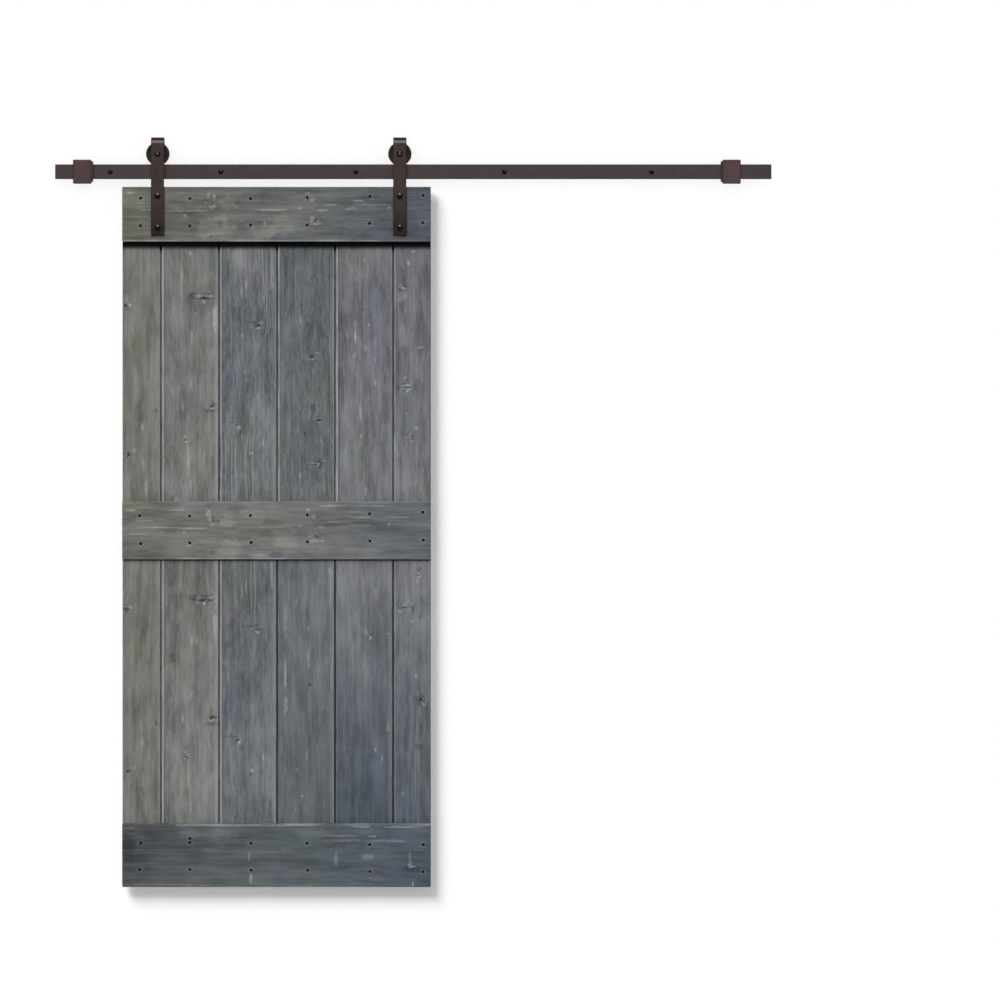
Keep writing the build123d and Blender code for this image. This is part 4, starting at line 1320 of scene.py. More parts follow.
def ring_about_middle(name, node, upper_half, segments, ease):
    """A turned ring that is the same on both sides of its middle plane."""
    low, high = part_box(node)
    centre = ((low.x + high.x) / 2, (low.y + high.y) / 2, (low.z + high.z) / 2)
    profile = upper_half + [(radius, -depth) for radius, depth in reversed(upper_half)]
    return turned(name, centre, 1, lambda angle: profile, segments=segments, ease=ease, closed=True)


def wheel(node, bearing_node):
    """A grooved wheel with a stepped web and a hub."""
    low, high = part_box(node)
    radius, half = (high.x - low.x) / 2, (high.y - low.y) / 2
    bearing_low, bearing_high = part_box(bearing_node)
    seat = (bearing_high.x - bearing_low.x) / 2 + BEARING_FIT
    roll = radius - WHEEL_GROOVE_DEPTH
    upper_half = [
        (seat, half - WHEEL_HUB_RECESS),
        (WHEEL_HUB_RADIUS, half - WHEEL_HUB_RECESS),
        (WHEEL_HUB_RADIUS, half - WHEEL_WEB_RECESS),
        (roll - WHEEL_RIM_WALL, half - WHEEL_WEB_RECESS),
        (roll - WHEEL_RIM_WALL, half),
        (radius - WHEEL_CHAMFER, half),
        (radius, half - WHEEL_CHAMFER),
        (radius, WHEEL_GROOVE_HALF + WHEEL_FLARE),
        (roll, WHEEL_GROOVE_HALF),
    ]
    return ring_about_middle(f"machined_{node}", node, upper_half, WHEEL_SEGMENTS, WHEEL_EASE)


def bearing(node):
    """A shielded bearing: two rings with a set-back shield between them."""
    low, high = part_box(node)
    radius, half = (high.x - low.x) / 2, (high.y - low.y) / 2
    upper_half = [
        (BEARING_BORE, half),
        (BEARING_BORE + BEARING_RING, half),
        (BEARING_BORE + BEARING_RING, half - BEARING_RECESS),
        (radius - BEARING_RING, half - BEARING_RECESS),
        (radius - BEARING_RING, half),
        (radius, half),
    ]
    return ring_about_middle(f"ground_{node}", node, upper_half, BEARING_SEGMENTS, BEARING_EASE)


# Materials

def linear(tone):
    """An sRGB tone, 0 to 255, as the linear colour that a shader takes."""
    shares = [value / 255 for value in tone]
    return [s / 12.92 if s <= 0.04045 else ((s + 0.055) / 1.055) ** 2.4 for s in shares] + [1.0]


class Nodes:
    """Short calls that add nodes to one tree and link them."""

    def __init__(self, tree):
        """Empties the tree that the calls add to."""
        self.tree = tree
        tree.nodes.clear()

    def put(self, socket, value):
        """Links an output to a socket, or sets the socket's own value."""
        if isinstance(value, bpy.types.NodeSocket):
            self.tree.links.new(value, socket)
        else:
            socket.default_value = value

    def add(self, kind, inputs=None, **settings):
        """A node of a kind, with its settings and inputs."""
        node = self.tree.nodes.new(kind)
        for name, value in settings.items():
            setattr(node, name, value)
        for name, value in (inputs or {}).items():
            self.put(node.inputs[name], value)
        return node

    def math(self, operation, *values, clamp=False):
        """One sum, product or like step."""
        node = self.add("ShaderNodeMath", operation=operation, use_clamp=clamp)
        for socket, value in zip(node.inputs, values):
            self.put(socket, value)
        return node.outputs[0]

    def times(self, *values):
        """The product of several numbers."""
        product = values[0]
        for value in values[1:]:
            product = self.math("MULTIPLY", product, value)
        return product

    def step(self, value, low, high):
        """0 below low, 1 above high, and smooth between."""
        inputs = {"Value": value, "From Min": low, "From Max": high}
        return self.add("ShaderNodeMapRange", inputs, interpolation_type="SMOOTHSTEP").outputs[0]

    def spread(self, value, low, high):
        """A number from 0 to 1 stretched between two limits."""
        inputs = {"Value": value, "To Min": low, "To Max": high}
        return self.add("ShaderNodeMapRange", inputs).outputs[0]

    def vector(self, x, y, z):
        """Three numbers as a vector."""
        return self.add("ShaderNodeCombineXYZ", {0: x, 1: y, 2: z}).outputs[0]

    def field(self, place, noise, seed, shift=0.0):
        """Noise from 0 to 1, stretched by its own scale along each axis."""
        seed = seed + noise.seed
        mapping = self.add("ShaderNodeMapping", {"Vector": place})
        mapping.inputs["Scale"].default_value = (*noise.scale, 1.0)
        mapping.inputs["Location"].default_value = (shift, SEED_STEPS[0] * seed, SEED_STEPS[1] * seed)
        return self.grain(mapping.outputs[0], 1.0, noise.detail)

    def grain(self, place, scale, detail):
        """Even noise from 0 to 1."""
        inputs = {"Vector": place, "Scale": scale, "Detail": detail}
        return self.add("ShaderNodeTexNoise", inputs).outputs["Fac"]

    def fall(self, value, low, high):
        """1 below low, 0 above high, and smooth between."""
        return self.math("SUBTRACT", 1.0, self.step(value, low, high))

    def length(self, x, y):
        """How far a point lies from the origin of a plane."""
        return self.math("SQRT", self.math("ADD", self.times(x, x), self.times(y, y)))

    def swing(self, value, amount):
        """Noise sharpened and spread evenly about 0, by as much as the amount each way."""
        return self.spread(self.step(value, *SWING_CUT), -amount, amount)

    def band(self, value, low, high, fade):
        """1 between two limits, fading to 0 just outside them."""
        risen = self.step(value, low - fade, low)
        return self.times(risen, self.fall(value, high, high + fade))

    def mix(self, share, first, second, blend="MIX"):
        """A colour between two others."""
        node = self.add("ShaderNodeMix", data_type="RGBA", blend_type=blend)
        self.put(node.inputs[0], share)
        self.put(node.inputs[6], first)
        self.put(node.inputs[7], second)
        return node.outputs[2]

    def attribute(self, name):
        """A number stored on the mesh's points."""
        return self.add("ShaderNodeAttribute", attribute_name=name).outputs["Fac"]

    def surface(self, colour, roughness, height, distance, specular, metallic=0.0):
        """Ends the tree in one shader with a bumped surface."""
        bump = self.add("ShaderNodeBump", {"Height": height, "Distance": distance, "Strength": 1.0})
        shader = self.add("ShaderNodeBsdfPrincipled", {"Normal": bump.outputs[0]})
        self.put(shader.inputs["Base Color"], colour)
        self.put(shader.inputs["Roughness"], roughness)
        shader.inputs["Specular IOR Level"].default_value = specular
        shader.inputs["Metallic"].default_value = metallic
        output = self.add("ShaderNodeOutputMaterial")
        self.tree.links.new(shader.outputs[0], output.inputs[0])


# What the wood functions share: the tree, the place on the board, its noise seed and the sway of its spots
Wood = namedtuple("Wood", "nodes x y z across along plain seed sway_x sway_z spot_tree")


def new_material(name):
    """An empty material and the calls that fill its tree."""
    material = bpy.data.materials.new(name)
    material.use_nodes = True
    return material, Nodes(material.node_tree)


def knot_group():
    """One knot: its push on the grain, its core, the fleck by it, the region it stirs, its rim and halo."""
    tree = bpy.data.node_groups.new("knot", "ShaderNodeTree")
    nodes = Nodes(tree)
    for name in ("Across", "Along", "Knot Across", "Knot Along", "Radius"):
        tree.interface.new_socket(name=name, in_out="INPUT", socket_type="NodeSocketFloat")
    for name in ("Push", "Core", "Fleck", "Region", "Rim", "Halo"):
        tree.interface.new_socket(name=name, in_out="OUTPUT", socket_type="NodeSocketFloat")
    given = nodes.add("NodeGroupInput").outputs
    radius = given["Radius"]
    across = nodes.math("SUBTRACT", given["Across"], given["Knot Across"])
    along = nodes.math("SUBTRACT", given["Along"], given["Knot Along"])
    distance = nodes.math("DIVIDE", nodes.length(nodes.times(across, KNOT_FLATTEN), along), radius)
    spread = nodes.math("MAXIMUM", nodes.times(distance, distance), 1.0)
    fade = nodes.fall(distance, *KNOT_PUSH_FALL)
    beside = nodes.math("ADD", along, nodes.times(radius, FLECK_OFFSET))
    fleck_distance = nodes.length(nodes.times(across, FLECK_FLATTEN), beside)
    fleck_distance = nodes.math("DIVIDE", fleck_distance, radius)
    result = nodes.add("NodeGroupOutput")
    nodes.put(result.inputs["Push"], nodes.times(nodes.math("DIVIDE", across, spread), fade))
    nodes.put(result.inputs["Core"], nodes.fall(distance, *KNOT_CORE))
    nodes.put(result.inputs["Fleck"], nodes.fall(fleck_distance, *KNOT_FLECK))
    nodes.put(result.inputs["Region"], nodes.fall(distance, *KNOT_REGION))
    nodes.put(result.inputs["Rim"], nodes.band(distance, *KNOT_RIM))
    nodes.put(result.inputs["Halo"], nodes.band(distance, *KNOT_HALO))
    return tree


def spot_group():
    """How strongly one soft spot with ragged edges covers a place."""
    tree = bpy.data.node_groups.new("spot", "ShaderNodeTree")
    nodes = Nodes(tree)
    for name in ("X", "Z", "Sway X", "Sway Z", "Spot X", "Spot Z", "Half Width", "Half Height", "Share"):
        tree.interface.new_socket(name=name, in_out="INPUT", socket_type="NodeSocketFloat")
    tree.interface.new_socket(name="Cover", in_out="OUTPUT", socket_type="NodeSocketFloat")
    given = nodes.add("NodeGroupInput").outputs
    x = nodes.math("DIVIDE", nodes.math("SUBTRACT", given["X"], given["Spot X"]), given["Half Width"])
    z = nodes.math("DIVIDE", nodes.math("SUBTRACT", given["Z"], given["Spot Z"]), given["Half Height"])
    x = nodes.math("ADD", x, given["Sway X"])
    z = nodes.math("ADD", z, given["Sway Z"])
    cover = nodes.times(nodes.fall(nodes.length(x, z), *SPOT_FALL), given["Share"])
    nodes.put(nodes.add("NodeGroupOutput").inputs["Cover"], cover)
    return tree


def spot_cover(wood, spot):
    """One of a board's spots, in its place."""
    nodes = wood.nodes
    spot_x, spot_z = from_pixel(spot.column, spot.row)
    node = nodes.add("ShaderNodeGroup", node_tree=wood.spot_tree)
    values = {
        "X": wood.x,
        "Z": wood.z,
        "Sway X": wood.sway_x,
        "Sway Z": wood.sway_z,
        "Spot X": spot_x,
        "Spot Z": spot_z,
        "Half Width": spot.half_width * METRES_PER_PIXEL,
        "Half Height": spot.half_height * METRES_PER_PIXEL,
        "Share": spot.share,
    }
    for name, value in values.items():
        nodes.put(node.inputs[name], value)
    return node.outputs["Cover"]


def spotted(wood, tone, board):
    """The stain with the board's tinted patches, then its dark and its pale spots."""
    nodes = wood.nodes
    crumbs = nodes.step(nodes.field(wood.plain, CRUMBLE_NOISE, wood.seed), *CRUMBLE_CUT)
    crumbs = nodes.spread(crumbs, *CRUMBLE_RANGE)
    for patch_tone, spot in board.tinted:
        tone = nodes.mix(spot_cover(wood, spot), tone, linear(patch_tone))
    for spots, spot_tone in ((board.dark, DARK_FIBRE), (board.pale, PALE_FIBRE)):
        cover = 0.0
        for spot in spots:
            cover = nodes.math("MAXIMUM", cover, spot_cover(wood, spot))
        tone = nodes.mix(nodes.times(cover, crumbs), tone, linear(spot_tone))
    return tone


def stained_wood(name, board, upright, edges, seed, trees):
    """Grey-stained pine: blotched stain, broken grain that parts round knots, worn edges, dark joints and
    painted light and shade.
    """
    material, nodes = new_material(name)
    texture = nodes.add("ShaderNodeTexCoord")
    x, y, z = nodes.add("ShaderNodeSeparateXYZ", {0: texture.outputs["Object"]}).outputs
    across, along = (x, z) if upright else (z, x)
    plain = nodes.vector(across, along, y)
    sways = [nodes.spread(nodes.field(plain, noise, seed), -SPOT_SWAY, SPOT_SWAY) for noise in SWAY_NOISES]
    wood = Wood(nodes, x, y, z, across, along, plain, seed, *sways, trees["spot"])
    line, knots = parted_grain(wood, board, upright, trees["knot"])
    grain = nodes.vector(line, along, y)
    streaks = nodes.field(grain, STREAK_NOISE, seed)
    dashes = nodes.field(grain, DASH_NOISE, seed)
    fibres = nodes.field(grain, FIBRE_NOISE, seed)

    lines = nodes.spread(nodes.step(z, middle_ledge_foot, middle_ledge_top), board.lines[1], board.lines[0])
    tone = blotched_stain(wood, board, upright)
    tone = spotted(wood, tone, board)
    light = grain_light(wood, board.blotch, lines, grain, streaks, dashes, fibres)
    tone = nodes.mix(1.0, tone, light, "MULTIPLY")
    tone = fibre_tones(wood, tone, grain, lines)
    tone = plank_knot_tones(wood, tone, knots) if upright else ledge_knot_tones(wood, tone, knots)
    patchy = nodes.step(nodes.field(plain, WEAR_NOISE, seed), *WEAR_CUT)
    tone = nodes.mix(nodes.times(nodes.attribute("wear"), patchy, WEAR_SHARE), tone, linear(PALE_FIBRE))
    tone = nodes.mix(nodes.times(nodes.attribute("nail_rim"), NAIL_RIM_SHARE), tone, linear(PALE_FIBRE))
    edge_tones = plank_edge_tones if upright else ledge_edge_tones
    tone = edge_tones(wood, tone, edges, board.pale_lines)
    facing = nodes.add("ShaderNodeSeparateXYZ", {0: texture.outputs["Normal"]}).outputs[2 if upright else 0]
    tone = nodes.mix(nodes.step(nodes.math("ABSOLUTE", facing), *END_FACING), tone, end_grain_tone(wood))

    height = nodes.math("ADD", nodes.times(streaks, STREAK_HEIGHT), nodes.times(dashes, DASH_HEIGHT))
    height = nodes.math("ADD", height, nodes.times(fibres, FIBRE_HEIGHT))
    height = nodes.math("ADD", height, nodes.times(knots["Core"], KNOT_HEIGHT))
    nodes.surface(tone, nodes.spread(streaks, *WOOD_ROUGHNESS), height, WOOD_BUMP, WOOD_SPECULAR)
    return material


def parted_grain(wood, board, upright, knot_tree):
    """The grain's own coordinate, drifting across the board and parted by knots, and the knots' marks."""
    nodes, seed = wood.nodes, wood.seed
    drift = nodes.spread(nodes.field(wood.plain, DRIFT_NOISE, seed), -GRAIN_DRIFT, GRAIN_DRIFT)
    wander = nodes.spread(nodes.field(wood.plain, WANDER_NOISE, seed), -GRAIN_WANDER, GRAIN_WANDER)
    line = nodes.math("ADD", wood.across, nodes.math("ADD", drift, wander))
    sway = PLANK_KNOT_SWAY if upright else LEDGE_KNOT_SWAY
    sideways = nodes.spread(nodes.field(wood.plain, SIDEWAYS_NOISE, seed), -sway, sway)
    lengthways = nodes.spread(nodes.field(wood.plain, LENGTHWAYS_NOISE, seed), -sway, sway)
    rough_across = nodes.math("ADD", wood.across, sideways)
    rough_along = nodes.math("ADD", wood.along, lengthways)
    marks = {"Core": 0.0, "Fleck": 0.0, "Region": 0.0, "Rim": 0.0, "Halo": 0.0}
    for column, row, radius in board.knots:
        knot_x, knot_z = from_pixel(column, row)
        knot = nodes.add("ShaderNodeGroup", node_tree=knot_tree)
        nodes.put(knot.inputs["Across"], rough_across)
        nodes.put(knot.inputs["Along"], rough_along)
        nodes.put(knot.inputs["Knot Across"], knot_x if upright else knot_z)
        nodes.put(knot.inputs["Knot Along"], knot_z if upright else knot_x)
        nodes.put(knot.inputs["Radius"], radius)
        line = nodes.math("SUBTRACT", line, knot.outputs["Push"])
        for mark in marks:
            marks[mark] = nodes.math("MAXIMUM", marks[mark], knot.outputs[mark])
    return line, marks


def blotched_stain(wood, board, upright):
    """The board's three tones from end to end, tinted warm, cool and violet in patches."""
    nodes, seed = wood.nodes, wood.seed
    start, end = (door_top, door_bottom) if upright else (door_left, door_right)
    inputs = {"Value": wood.along, "From Min": start, "From Max": end}
    share = nodes.add("ShaderNodeMapRange", inputs).outputs[0]
    first, second, third = (linear(tone) for tone in board.tones)
    tone = nodes.mix(nodes.step(share, 0.0, 0.5), first, second)
    tone = nodes.mix(nodes.step(share, 0.5, 1.0), tone, third)
    for tint, noise in TINTS:
        patch = nodes.step(nodes.field(wood.plain, noise, seed), *TINT_CUT)
        tone = nodes.mix(nodes.times(patch, TINT_SHARE), tone, tint, "MULTIPLY")
    return tone


def grain_light(wood, blotch, lines, grain, streaks, dashes, fibres):
    """How much lighter or darker than its stain each place is."""
    nodes, seed = wood.nodes, wood.seed
    clouds = nodes.field(wood.plain, CLOUD_NOISE, seed)
    patches = nodes.field(wood.plain, PATCH_NOISE, seed)
    bands = nodes.field(grain, BAND_NOISE, seed)
    even = [(clouds, CLOUD_LIGHT * blotch), (patches, PATCH_LIGHT * blotch)]
    even += [(bands, BAND_LIGHT), (streaks, STREAK_LIGHT)]
    light = 1.0
    for field, amount in even:
        light = nodes.math("ADD", light, nodes.swing(field, amount))
    for field, amount in ((dashes, DASH_LIGHT), (fibres, FIBRE_LIGHT)):
        light = nodes.math("ADD", light, nodes.times(nodes.swing(field, amount), lines))
    return light


def fibre_tones(wood, tone, grain, lines):
    """Long pale fibres, each with a dark line beside it, and clusters of short pale and dark dashes."""
    nodes, seed = wood.nodes, wood.seed
    gather = nodes.times(nodes.step(nodes.field(grain, GATHER_NOISE, seed), *GATHER_CUT), lines)
    pale_line = nodes.step(nodes.field(grain, LINE_NOISE, seed), *LINE_CUT)
    dark_line = nodes.step(nodes.field(grain, LINE_NOISE, seed, DARK_LINE_SHIFT), *LINE_CUT)
    cluster = nodes.times(nodes.step(nodes.field(wood.plain, CLUSTER_NOISE, seed), *CLUSTER_CUT), lines)
    pale_dash = nodes.step(nodes.field(grain, PALE_DASH_NOISE, seed), *DASH_CUT)
    dark_dash = nodes.step(nodes.field(grain, DARK_DASH_NOISE, seed), *DASH_CUT)
    tone = nodes.mix(nodes.times(dark_line, gather, DARK_LINE_SHARE), tone, linear(DARK_FIBRE))
    tone = nodes.mix(nodes.times(pale_line, gather, PALE_LINE_SHARE), tone, linear(PALE_FIBRE))
    tone = nodes.mix(nodes.times(dark_dash, lines, DARK_DASH_SHARE), tone, linear(DARK_FIBRE))
    return nodes.mix(nodes.times(pale_dash, cluster, PALE_DASH_SHARE), tone, linear(PALE_FIBRE))


def plank_knot_tones(wood, tone, knots):
    """Wisps across the grain about each knot, its dark core and a bright fleck."""
    nodes = wood.nodes
    wisps = nodes.field(wood.plain, WISP_NOISE, wood.seed)
    dark_wisp = nodes.times(nodes.fall(wisps, *DARK_WISP_CUT), knots["Region"], DARK_WISP_SHARE)
    pale_wisp = nodes.times(nodes.step(wisps, *PALE_WISP_CUT), knots["Region"], PALE_WISP_SHARE)
    tone = nodes.mix(dark_wisp, tone, linear(DARK_FIBRE))
    tone = nodes.mix(pale_wisp, tone, linear(PALE_FIBRE))
    tone = nodes.mix(nodes.times(knots["Core"], PLANK_CORE_SHARE), tone, linear(KNOT_BROWN))
    # the fleck is partly a painted highlight
    return nodes.mix(nodes.times(knots["Fleck"], PLANK_FLECK_SHARE), tone, linear(PALE_EDGE))


def ledge_knot_tones(wood, tone, knots):
    """Each knot among its crumbs: a faint broken halo, a dark broken rim, a core and a small pale fleck."""
    nodes = wood.nodes
    broken = nodes.step(nodes.field(wood.plain, RIM_NOISE, wood.seed), *RIM_CUT)
    tone = nodes.mix(nodes.times(knots["Halo"], broken, LEDGE_HALO_SHARE), tone, linear(PALE_FIBRE))
    tone = nodes.mix(nodes.times(knots["Rim"], broken, LEDGE_RIM_SHARE), tone, linear(DARK_FIBRE))
    tone = nodes.mix(nodes.times(knots["Core"], LEDGE_CORE_SHARE), tone, linear(KNOT_BROWN))
    # the fleck is partly a painted highlight
    return nodes.mix(nodes.times(knots["Fleck"], LEDGE_FLECK_SHARE), tone, linear(PALE_EDGE))


def end_grain_tone(wood):
    """Sawn ends: rings cut across."""
    nodes = wood.nodes
    across, through = END_GRAIN_STRETCH
    rings = nodes.vector(nodes.times(wood.across, across), nodes.times(wood.y, through), wood.seed)
    return nodes.mix(nodes.grain(rings, *END_GRAIN_NOISE), linear(DARK_FIBRE), linear(END_GRAIN))


def plank_edge_tones(wood, tone, edges, pale_lines):
    """The lines beside a joint, dark and pale, partly painted light and shade; painted shade: a black band
    under the top ledge.
    """
    nodes, seed, along = wood.nodes, wood.seed, wood.along
    left, right = edges
    ragged = nodes.field(nodes.vector(wood.across, along, 0.0), PLANK_EDGE_NOISE, seed)
    shift = nodes.spread(ragged, -EDGE_SWAY, EDGE_SWAY)
    from_left = nodes.math("ADD", nodes.math("SUBTRACT", wood.across, left), shift)
    from_right = nodes.math("ADD", nodes.math("SUBTRACT", right, wood.across), shift)
    upper = nodes.step(along, middle_ledge_foot, middle_ledge_top)
    strength = nodes.spread(upper, pale_lines[1], pale_lines[0])
    broken = nodes.spread(nodes.step(ragged, *PLANK_EDGE_CUT), *PLANK_EDGE_RANGE)
    stretches = nodes.step(nodes.field(wood.plain, PLANK_STRETCH_NOISE, seed), *PLANK_STRETCH_CUT)
    stretches = nodes.spread(stretches, *PLANK_STRETCH_RANGE)
    joint = nodes.attribute("joint")
    joint_near = 0.0
    if left > door_left:
        # painted light and shade beside the joint: a dark line of painted shade, then a pale line, partly a
        # painted highlight
        beside = nodes.times(nodes.band(from_left, *JOINT_SHADE), strength, JOINT_SHADE_SHARE)
        line = nodes.times(nodes.band(from_left, *JOINT_LINE), strength, broken)
        black = nodes.spread(strength, *GROOVE_BLACK)
        groove = nodes.times(nodes.fall(from_left, *GROOVE_FALL), black)
        tone = nodes.mix(beside, tone, linear(DARK_FIBRE))
        tone = nodes.mix(line, tone, linear(PALE_EDGE))
        tone = nodes.mix(groove, tone, linear(JOINT_BLACK))
        in_joint = nodes.times(joint, nodes.fall(from_left, *JOINT_SIDE_FALL), black)
        tone = nodes.mix(in_joint, tone, linear(JOINT_BLACK))
        joint_near = nodes.fall(from_left, *LEFT_JOINT_FALL)
    if right < door_right - PLANK_CHAMFER:
        black = nodes.spread(upper, pale_lines[3], 0.0)
        fading = nodes.times(nodes.fall(from_right, *FADING_FALL), stretches, pale_lines[2])
        # painted light: a pale tone on the right chamfer that lightens the shade the lamps leave there
        wear_and_painted_light = nodes.times(nodes.fall(from_right, *PAINTED_LIGHT_FALL), nodes.spread(black, PAINTED_LIGHT_SHARE, 0.0))
        tone = nodes.mix(fading, tone, linear(PALE_FIBRE))
        tone = nodes.mix(wear_and_painted_light, tone, linear(PALE_EDGE))
        in_joint = nodes.times(joint, nodes.fall(from_right, *JOINT_SIDE_FALL), black)
        tone = nodes.mix(in_joint, tone, linear(JOINT_BLACK))
        joint_near = nodes.math("MAXIMUM", joint_near, nodes.fall(from_right, *RIGHT_JOINT_FALL))
    # painted shade: a black band under the top ledge, reaching further down in the joints
    below_foot = nodes.math("SUBTRACT", top_ledge_foot, along)
    below_foot = nodes.math("ADD", below_foot, nodes.spread(ragged, -SHADE_SWAY, SHADE_SWAY))
    below_foot = nodes.math("SUBTRACT", below_foot, nodes.times(joint_near, SHADE_IN_JOINT))
    front_start, front_end = (plank_front + share * PLANK_CHAMFER for share in FRONT_FALL)
    on_front = nodes.fall(wood.y, front_start, front_end)
    under = nodes.times(nodes.fall(below_foot, *SHADE_FALL), on_front)
    tone = nodes.mix(nodes.times(under, SHADE_SHARE), tone, linear(LEDGE_SHADE))
    # painted shade: a thin black line under the middle ledge
    from_middle = nodes.math("ABSOLUTE", nodes.math("SUBTRACT", middle_ledge_foot, along))
    thin = nodes.times(nodes.fall(from_middle, *THIN_SHADE_FALL), on_front)
    return nodes.mix(nodes.times(thin, THIN_SHADE_SHARE), tone, linear(LEDGE_SHADE))


def ledge_edge_tones(wood, tone, edges, pale_lines):
    """Broken pale lines along a ledge's lower and upper edges, the upper one partly a painted highlight, and
    dark nail holes.
    """
    nodes, seed = wood.nodes, wood.seed
    lower, upper = edges
    ragged = nodes.field(nodes.vector(wood.across, wood.along, 0.0), LEDGE_EDGE_NOISE, seed)
    broken = nodes.spread(nodes.step(ragged, *LEDGE_EDGE_CUT), *LEDGE_EDGE_RANGE)
    stretches = nodes.step(nodes.field(wood.plain, LEDGE_STRETCH_NOISE, seed), *LEDGE_STRETCH_CUT)
    stretches = nodes.spread(stretches, *LEDGE_STRETCH_RANGE)
    broken = nodes.times(broken, stretches)
    from_lower = nodes.math("SUBTRACT", wood.across, lower)
    from_upper = nodes.math("SUBTRACT", upper, wood.across)
    low_line = nodes.times(nodes.band(from_lower, *LOWER_LINE), pale_lines[0], broken)
    high_line = nodes.times(nodes.band(from_upper, *UPPER_LINE), pale_lines[1], broken)
    tone = nodes.mix(low_line, tone, linear(PALE_EDGE))
    # the upper line is partly a painted highlight where the edge catches the light
    tone = nodes.mix(high_line, tone, linear(PALE_EDGE))
    # painted shade: the walls of the nail holes near black
    return nodes.mix(nodes.times(nodes.attribute("joint"), NAIL_HOLE_SHARE), tone, linear(JOINT_BLACK))


def coated_metal(name):
    """Painted or blackened steel: faint mottling, a fine orange peel, dark edges worn bare in places, a
    painted highlight on heads.
    """
    coat = COATS[name]
    material, nodes = new_material(name)
    place = nodes.add("ShaderNodeTexCoord").outputs["Object"]
    mottle = nodes.grain(place, *MOTTLE_NOISE)
    speckle = nodes.grain(place, *SPECKLE_NOISE)
    peel = nodes.grain(place, *PEEL_NOISE)
    light = nodes.spread(nodes.step(mottle, *MOTTLE_CUT), 1 - coat.mottling, 1 + coat.mottling)
    colour = nodes.mix(1.0, linear(coat.tone), light, "MULTIPLY")
    if coat.dim_end:
        height = nodes.add("ShaderNodeSeparateXYZ", {0: place}).outputs[2]
        dimming = nodes.spread(nodes.step(height, *coat.dim_end), DIM_SHARE, 1.0)
        colour = nodes.mix(1.0, colour, dimming, "MULTIPLY")
    specks = nodes.times(nodes.step(speckle, *SPECKLE_CUT), SPECKLE_SHARE)
    colour = nodes.mix(specks, colour, linear(coat.worn))
    edge = nodes.attribute("wear")
    colour = nodes.mix(nodes.times(edge, DARK_EDGE_SHARE), colour, linear(BRONZE_DARK))
    wear_and_painted_light = nodes.times(edge, nodes.step(nodes.grain(place, *RUBBED_NOISE), *RUBBED_CUT), coat.wear_share)
    colour = nodes.mix(wear_and_painted_light, colour, linear(coat.worn))
    # painted highlight: a bright spot on each bolt head
    colour = nodes.mix(nodes.attribute("painted_glint"), colour, linear(PAINTED_GLINT))
    gloss = nodes.spread(mottle, coat.roughness - GLOSS_SWING, coat.roughness + GLOSS_SWING)
    gloss = nodes.math("ADD", gloss, nodes.times(wear_and_painted_light, RUBBED_GLOSS))
    relief = nodes.math("ADD", peel, nodes.times(speckle, SPECKLE_HEIGHT))
    nodes.surface(colour, gloss, relief, COAT_BUMP, coat.specular, coat.metallic)
    return material


def ground_steel():
    """Bright steel with fine turning marks."""
    material, nodes = new_material("ground_steel")
    place = nodes.add("ShaderNodeTexCoord").outputs["Object"]
    cloud = nodes.grain(place, *STEEL_NOISE)
    scratch = nodes.grain(place, *SCRATCH_NOISE)
    tone = nodes.mix(cloud, linear(GROUND_STEEL), linear(STEEL_WORN))
    nodes.surface(tone, nodes.spread(scratch, *STEEL_ROUGHNESS), scratch, STEEL_BUMP, STEEL_SPECULAR, 1.0)
    return material


def stop_rubber():
    """Matt moulded rubber with a fine pitted skin and a dusty bloom."""
    material, nodes = new_material("stop_rubber")
    place = nodes.add("ShaderNodeTexCoord").outputs["Object"]
    bloom = nodes.step(nodes.grain(place, *BLOOM_NOISE), *BLOOM_CUT)
    pits = nodes.grain(place, *PIT_NOISE)
    tone = nodes.mix(nodes.times(bloom, BLOOM_SHARE), linear(RUBBER_BLACK), linear(STEEL_WORN))
    nodes.surface(tone, nodes.spread(bloom, *RUBBER_ROUGHNESS), pits, RUBBER_BUMP, RUBBER_SPECULAR)
    return material


# Stage, light and camera

def stage_material(name, tone):
    """White apart from shadows, and see-through from behind."""
    material, nodes = new_material(name)
    diffuse = nodes.add("ShaderNodeBsdfDiffuse", {"Color": (tone, tone, tone, 1)})
    clear = nodes.add("ShaderNodeBsdfTransparent")
    behind = nodes.add("ShaderNodeNewGeometry").outputs["Backfacing"]
    both = nodes.add("ShaderNodeMixShader", {0: behind, 1: diffuse.outputs[0], 2: clear.outputs[0]})
    nodes.add("ShaderNodeOutputMaterial", {0: both.outputs[0]})
    return material


def stage_plane(name, corners, material):
    """A flat backdrop that lights nothing and shades nothing itself."""
    mesh = bpy.data.meshes.new(name)
    mesh.from_pydata(corners, [], [[0, 1, 2, 3]])
    plane = bpy.data.objects.new(name, mesh)
    bpy.context.scene.collection.objects.link(plane)
    mesh.materials.append(material)
    plane.visible_diffuse = False
    plane.visible_glossy = False
    plane.visible_shadow = False
    return plane


def build_stage():
    """A white wall just behind the track's standoffs and a pale floor under the door."""
    material = stage_material("stage_white", WALL_TONE)
    half, foot = STAGE_HALF_WIDTH, door_bottom - FLOOR_DROP
    wall = [(-half, WALL_GAP, foot), (half, WALL_GAP, foot), (half, WALL_GAP, half), (-half, WALL_GAP, half)]
    floor = [(-half, -half, foot), (half, -half, foot), (half, WALL_GAP, foot), (-half, WALL_GAP, foot)]
    return [stage_plane("wall", wall, material), stage_plane("floor", floor, material)]


def lamp_object(name, data):
    """A lamp that no camera sees."""
    lamp = bpy.data.objects.new(name, data)
    lamp.visible_camera = False
    bpy.context.scene.collection.objects.link(lamp)
    return lamp


